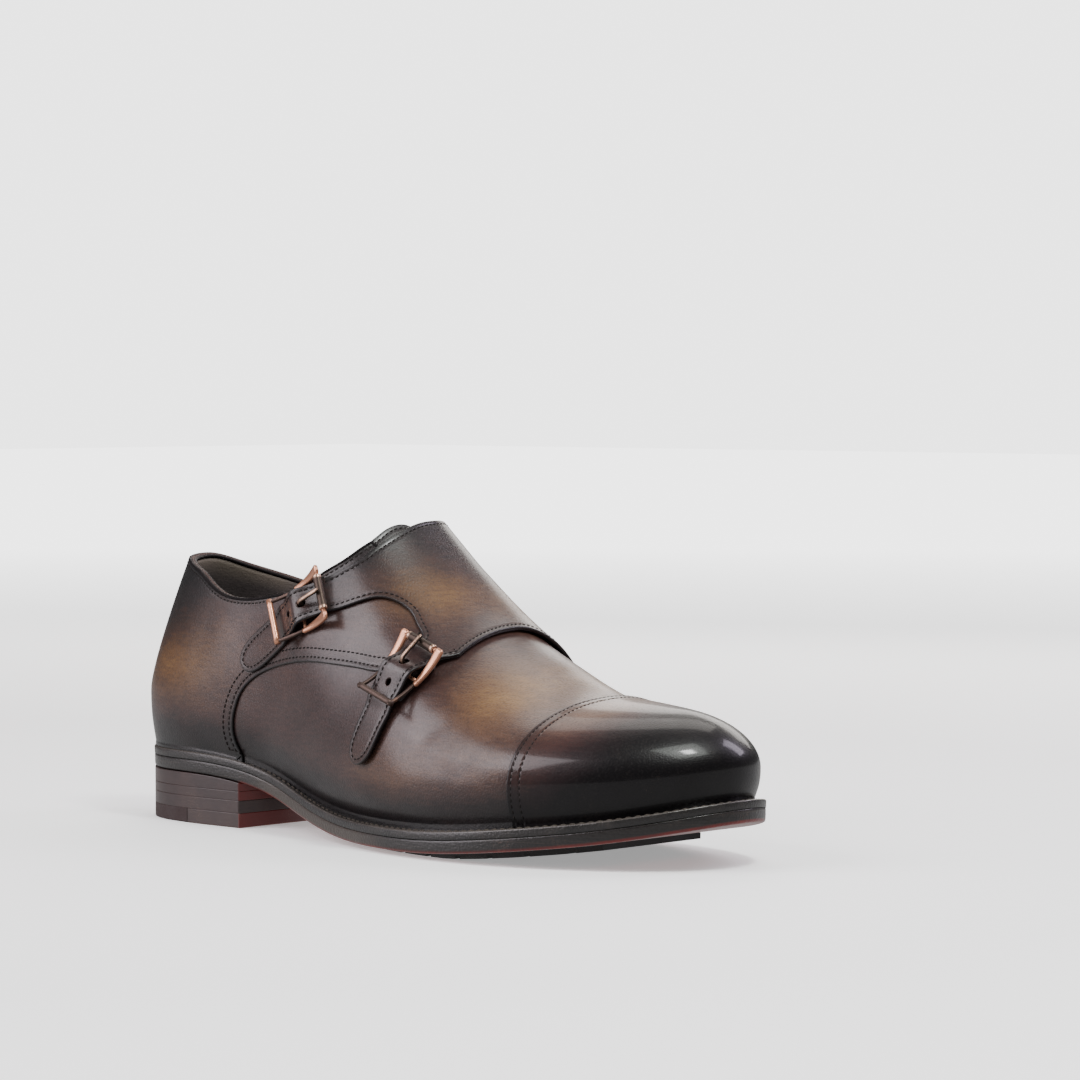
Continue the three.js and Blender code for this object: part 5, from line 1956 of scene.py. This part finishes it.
def crossBar(s, radius, length, polishAndPaintedLight, steps=9):
    y = np.linspace(-length / 2, length / 2, steps)
    path = np.stack([np.full(steps, s), y, np.full(steps, b["barHeight"] + bowAt(s))], -1)
    points, faces, high = sweep(path, roundedSection(2 * radius, 2 * radius, 2.4), upZ)
    # tops of the bars brighter: partly polish, partly painted highlight
    return points, faces, polishAndPaintedLight + b["topPolishAndHighlight"] * high


def frameParts(rearRub):
    half = b["length"] / 2
    outer = b["width"] + b["barOver"]
    bars = [crossBar(-half, b["barRadius"] + b["rearThicker"], outer, rearRub),
            crossBar(0, b["barRadius"], b["width"] - b["barUnder"], 0.0),
            crossBar(half, b["barRadius"], outer, b["frontRub"])]
    return sideBars(1) + sideBars(-1) + bars


# a tube with rounded ends that turns on the front bar
def rollerParts(steps=9, sides=28):
    half, inner, outer, bead = b["rollerLength"] / 2, b["rollerInner"], b["rollerOuter"], b["rollerBead"]
    profile = [(inner, -half), (outer - bead, -half), (outer, bead - half)]
    profile += [(outer, y) for y in np.linspace(2 * bead - half, half - 2 * bead, steps)]
    profile += [(outer, half - bead), (outer - bead, half), (inner, half)]
    radius, y = np.array(profile)[:, :, None].transpose(1, 0, 2)
    a = np.linspace(0, 2 * np.pi, sides, endpoint=False)[None]
    s = b["length"] / 2
    rise = b["barHeight"] + bowAt(s)
    grid = np.stack([s + radius * np.cos(a), np.repeat(y, sides, 1), rise + radius * np.sin(a)], -1)
    faces = gridFaces(len(profile), sides, closeColumns=True, closeRows=True)
    ends, between, endLength = b["rollerRub"]
    polishAndPaintedLight = np.where(np.abs(y[:, 0]) > half - endLength, ends, between)
    return [(grid.reshape(-1, 3), faces, np.repeat(polishAndPaintedLight, sides))]


# a bent prong and the eye that holds it on the centre bar
def prongParts(steps=40, turns=24, sides=16):
    half, base, wide = b["length"] / 2, b["barHeight"], b["prongWide"]
    rest = base + bowAt(half) + b["rollerOuter"] + b["prongOver"] + b["prongThick"] / 2
    knots = np.array([[1.2, base + 0.4], [2.3, base + 2.6], [3.6, rest - 0.6], [6.0, rest - 0.1],
                      [half - 4, rest], [half - 1, rest], [half + 1.6, rest]])
    at = runAlong(knots)
    line = naturalSpline(at, knots)(np.linspace(0, at[-1], steps))
    path = np.stack([line[:, 0], np.zeros(steps), line[:, 1]], -1)
    taperFrom, taper = b["prongTip"]
    scales = 1 - taper * smoothStep(np.linspace(0, 1, steps), taperFrom, 1.0) ** 1.5
    leaning = np.array([-0.3, 0, 1.0])
    points, faces, high = sweep(path, roundedSection(wide, b["prongThick"], 2.8), leaning, scales)
    # the prong's top is brighter: partly polish, partly painted highlight
    stem = (points, faces, 0.2 + 0.5 * high)
    a = np.linspace(0, 2 * np.pi, turns, endpoint=False)
    out = np.stack([np.cos(a), np.zeros(turns), np.sin(a)], -1)
    ring = upZ * base + out * (b["barRadius"] + b["eyeGap"] + b["eyeThick"] / 2)
    section = roundedSection(2 * wide, b["eyeThick"], 3.5, sides)
    across = np.array([0, 1.0, 0]) * section[None, :, :1]
    grid = ring[:, None] + across + out[:, None] * section[None, :, 1:]
    eye = (grid.reshape(-1, 3), gridFaces(turns, sides, True, True), np.full(turns * sides, 0.3))
    return [stem, eye]


for strap, rearRub in b["rearRub"].items():
    hardware = (
        ("frame", frameParts(rearRub), metals["copper"], "copper"),
        ("roller", rollerParts(), metals["darkBronze"], "dark_bronze"),
        ("prong", prongParts(), metals["darkBronze"], "dark_bronze"),
    )
    for kind, parts, material, slotName in hardware:
        points, faces, polishAndPaintedLight = mergeParts(parts)
        piece = addMesh(kind + "_" + strap, fromBuckle(strap, points), faces, material, values={"polishAndPaintedLight": polishAndPaintedLight})
        place(piece, slotName, "buckle_" + kind + "_" + strap)


# leather tab under each centre bar, its edge inked black
tabLook = {"length": 17.5, "width": 15.6, "low": 3.25, "high": 3.95, "corner": 1.2, "points": 90}


def tabOutline(name):
    l, w, r = tabLook["length"] / 2, tabLook["width"] / 2, tabLook["corner"]
    rows = []
    for cx, cy, start in ((l - r, w - r, 0), (r - l, w - r, 90), (r - l, r - w, 180), (l - r, r - w, 270)):
        for a in np.radians(np.arange(start, start + 91, 18)):
            rows.append([cx + r * np.cos(a), cy + r * np.sin(a)])
    ring = np.array(rows + rows[:1])
    at = runAlong(ring)
    t = np.linspace(0, at[-1], tabLook["points"], endpoint=False)
    u, w = surfaceUnder(frames[name], np.interp(t, at, ring[:, 0]), np.interp(t, at, ring[:, 1]))
    return counterClockwise(np.stack([u, w], -1))


for strap in frames:
    addPanel("tab_leather_" + strap, tabOutline(strap), constant(tabLook["high"]), constant(tabLook["low"]),
             leathers["strapLeather"], leatherTone, "strap_leather", ("buckle_tab_" + strap,), spacing=2.0)
print("buckles ready")


# ---- stitches: short capsules lying in the grooves
capsuleRings = np.array([[-0.5, 0.35], [-0.38, 0.85], [-0.12, 1.0], [0.12, 1.0], [0.38, 0.85], [0.5, 0.35]])
capsuleSink = 0.56  # how far the ends dip into the leather, in radii


def capsules(centres, alongs, normals, length, radius, sides=6):
    a = np.linspace(0, 2 * np.pi, sides, endpoint=False)
    at, wide = (column[None, :, None, None] for column in capsuleRings.T)
    a = a[None, None, :, None]
    sink = capsuleSink * (2 * np.abs(at)) ** 2
    side = np.cross(normals, alongs)[:, None, None]
    p = centres[:, None, None] + alongs[:, None, None] * at * length + side * wide * np.cos(a) * radius \
        + normals[:, None, None] * (wide * np.sin(a) - sink) * radius
    block = len(capsuleRings) * sides
    base = gridFaces(len(capsuleRings), sides, closeColumns=True)
    base += [list(range(sides))[::-1], list(range(block - sides, block))]
    faces = [[k + i * block for k in face] for i in range(len(centres)) for face in base]
    return p.reshape(-1, 3), faces


def pointsAt(marks, run, points):
    return np.stack([np.interp(marks, run, column) for column in points.T], -1)


def unit(vectors):
    return vectors / (np.linalg.norm(vectors, axis=1, keepdims=True) + tiny)


# stitches along a curve in u, w
def stitchRow(curve, offAt, closed=False, skip=None, probe=0.4):
    t = stitchLooks
    points = evenly(curve, t["pitch"] / 4, closed)
    line = surface(points[:, 0], points[:, 1], offAt(points[:, 0], points[:, 1]))
    run = runAlong(line)
    marks = np.arange(t["pitch"] / 2, run[-1], t["pitch"])
    centre = pointsAt(marks, run, line)
    along = unit(pointsAt(marks + probe, run, line) - pointsAt(marks - probe, run, line))
    u, w = pointsAt(marks, run, points).T
    normal = panelNormal(u, w, offAt)
    if skip is not None:
        keep = ~skip(u, w, centre)
        centre, along, normal = centre[keep], along[keep], normal[keep]
    along = unit(along + np.cross(normal, along) * t["lean"])
    return capsules(centre, along, normal, t["length"], t["radius"])


def addStitches(name, rows, thread, slotName):
    points, faces, at = [], [], 0
    for p, f in rows:
        points.append(p)
        faces += [[k + at for k in face] for face in f]
        at += len(p)
    piece = addMesh(name, np.vstack(points), faces, thread)
    print("stitches", name, len(faces))
    return place(piece, slotName)


def raised(offAt, proud):
    return lambda u, w: offAt(u, w) - stitchLooks["depth"] + proud


def underFlap(u, w):
    return insidePolygon(np.stack([u, w], -1) * chartShape, flap * chartShape)


def atTheFoot(u, w, p):
    return (p[:, 2] - treadZ(p[:, 0]) < stitchLooks["aboveWelt"]) | (u < stitchLooks["fromBack"])


def notOnQuarter(u, w, p):
    return underFlap(u, w) | atTheFoot(u, w, p)


seamCurve = smoothCurve(quarterSeam)
seamPlace = surface(seamCurve[:, 0], seamCurve[:, 1], layers["quarter"][1])
inset = stitchLooks["fromEdge"]
secondInset = inset + stitchLooks["secondRow"]


# the second row runs along the curved seam only
def notOuterSeam(u, w, p):
    return (nearest(p, seamPlace) > secondInset + 0.5) | notOnQuarter(u, w, p)


first, second = stitchLooks["proud"]
rows = [stitchRow(shifted(outerQuarter, inset, True), raised(quarterOff, first), True, notOnQuarter),
        stitchRow(shifted(outerQuarter, secondInset, True), raised(quarterOff, second), True, notOuterSeam),
        stitchRow(shifted(flap, inset, True), raised(flapTopAt, first), True, atTheFoot)]
capRow = np.linspace(0.02, 1.98, 400)
for at in capTable["stitches"]:
    rear = planeCut(capRow, capTable["seamX"] + at)
    rows.append(stitchRow(np.stack([rear, capRow], -1), constant(layers["cap"][1] - capTable["threadSunk"])))
addStitches("upper_stitching", rows, threads["darkThread"], "upper_leather")


# welt stitches, seen from above all round the forefoot and waist
weltStitch = {"inset": 2.1, "pitch": 3.4, "length": 2.7, "radius": 0.38, "from": 74.0, "sunk": 0.05}


def weltRow(t, probe=0.5):
    q = np.linspace(0, around, 1600)
    p = planPoint(q, rimOf(feather(q)[:, 0]) - t["inset"])
    line = np.column_stack([p, treadZ(p[:, 0]) - t["sunk"]])
    run = runAlong(line)
    marks = np.arange(0, run[-1], t["pitch"])
    centre = pointsAt(marks, run, line)
    along = unit(pointsAt(marks + probe, run, line) - centre)
    keep = centre[:, 0] > t["from"]
    centre, along = centre[keep], along[keep]
    return capsules(centre, along, unit(upZ - along * along[:, 2:]), t["length"], t["radius"], 8)


addStitches("welt_stitching", [weltRow(weltStitch)], threads["weltThread"], "welt_leather")


# ---- floor, light and view
stageTable = {
    "floor": 14.0,
    "floorColour": (0.93, 0.93, 0.935),
    "floorGlow": 0.56,  # an even glow for reflected light
    "floorShine": 0.35,
    "floorRough": 0.75,
    "floorClouds": (3.0, 0.97),  # scale, how dark
    "fade": (0.45, 2.6),
    "world": 0.55,  # sky light on matt surfaces
    "mirrored": 0.09,  # and in gloss, so that the softboxes shape the highlights
    "backdrop": 3.2,
    # place (m, from the part's middle), size, watts, colour
    "lights": [
        ("overToe", (0.53, -0.10, 1.00), (0.46, 0.60), 5.4, (0.93, 1.0, 0.93)),
        ("overToeCore", (0.55, -0.098, 0.95), (0.12, 0.18), 5.5, (1.0, 1.0, 1.0)),
        ("behindToe", (0.46, 0.77, 0.66), (0.30, 0.56), 5.0, (0.93, 0.84, 1.0)),
        ("behindHigh", (-0.46, 0.52, 0.98), (0.95, 0.42), 3.6, (1.0, 0.95, 0.90)),
        ("behindLow", (-0.52, 1.00, 0.50), (1.1, 0.40), 5.6, (1.0, 0.95, 0.90)),
        ("side", (-0.42, -0.86, 0.86), (0.80, 0.60), 10.0, (1.0, 0.95, 0.99)),
        ("sideBehind", (-0.90, -1.10, 0.40), (0.80, 0.80), 9.5, (1.0, 0.93, 0.98)),
    ],
    "middle": Vector((0.11, 0.0, 0.04)),
}


def makeStage(t):
    half = t["floor"] / 2
    mesh = bpy.data.meshes.new("floor")
    corners = [(-half, -half, 0), (half, -half, 0), (half, half, 0), (-half, half, 0)]
    mesh.from_pydata(corners, [], [(0, 1, 2, 3)])
    floor = bpy.data.objects.new("floor", mesh)
    bpy.context.scene.collection.objects.link(floor)
    material, tree, shader, at = newMaterial("paleFloor", {"Roughness": t["floorRough"]})
    cloudScale, darker = t["floorClouds"]
    cloud = noiseNode(tree, at, cloudScale, 2.0)
    shaded = tuple(darker * c for c in t["floorColour"])
    plain = mixColour(tree, cloud, (*shaded, 1), (*t["floorColour"], 1))
    rays = tree.nodes.new("ShaderNodeLightPath")
    bounced = mathNode(tree, "SUBTRACT", 1.0, rays.outputs["Is Camera Ray"])
    tree.links.new(mixColour(tree, bounced, plain, (0, 0, 0, 1)), shader.inputs["Base Color"])
    flat = tree.nodes.new("ShaderNodeVectorMath")
    flat.operation = "LENGTH"
    tree.links.new(at, flat.inputs[0])
    low, high = t["fade"]
    shine = remap(tree, flat.outputs["Value"], low, high, t["floorShine"], t["backdrop"])
    shine = mathNode(tree, "MULTIPLY", shine, rays.outputs["Is Camera Ray"])
    shine = mathNode(tree, "MULTIPLY_ADD", bounced, t["floorGlow"], shine)
    shader.inputs["Emission Color"].default_value = (1, 1, 1, 1)
    tree.links.new(shine, shader.inputs["Emission Strength"])
    # open from below, so that the sole can be seen
    mixed = tree.nodes.new("ShaderNodeMixShader")
    clear = tree.nodes.new("ShaderNodeBsdfTransparent")
    behind = tree.nodes.new("ShaderNodeNewGeometry")
    tree.links.new(behind.outputs["Backfacing"], mixed.inputs[0])
    tree.links.new(shader.outputs[0], mixed.inputs[1])
    tree.links.new(clear.outputs[0], mixed.inputs[2])
    tree.links.new(mixed.outputs[0], tree.nodes["Material Output"].inputs["Surface"])
    mesh.materials.append(material)
    world = bpy.data.worlds.new("softStudio")
    world.use_nodes = True
    tree = world.node_tree
    rays = tree.nodes.new("ShaderNodeLightPath")
    strength = t["world"]
    for ray, level in (("Is Glossy Ray", t["mirrored"]), ("Is Camera Ray", t["backdrop"])):
        strength = mathNode(tree, "MULTIPLY_ADD", rays.outputs[ray], level - t["world"], strength)
    setInput(tree, tree.nodes["Background"], "Color", (1, 1, 1, 1))
    setInput(tree, tree.nodes["Background"], "Strength", strength)
    bpy.context.scene.world = world
    for name, at, size, power, colour in t["lights"]:
        data = bpy.data.lights.new(name, "AREA")
        data.shape = "RECTANGLE"
        data.size, data.size_y = size
        data.energy = power
        data.color = colour
        lamp = bpy.data.objects.new(name, data)
        where = t["middle"] + Vector(at)
        lamp.location = where
        lamp.rotation_euler = (t["middle"] - where).to_track_quat("-Z", "Y").to_euler()
        bpy.context.scene.collection.objects.link(lamp)


makeStage(stageTable)
print("stage ready")
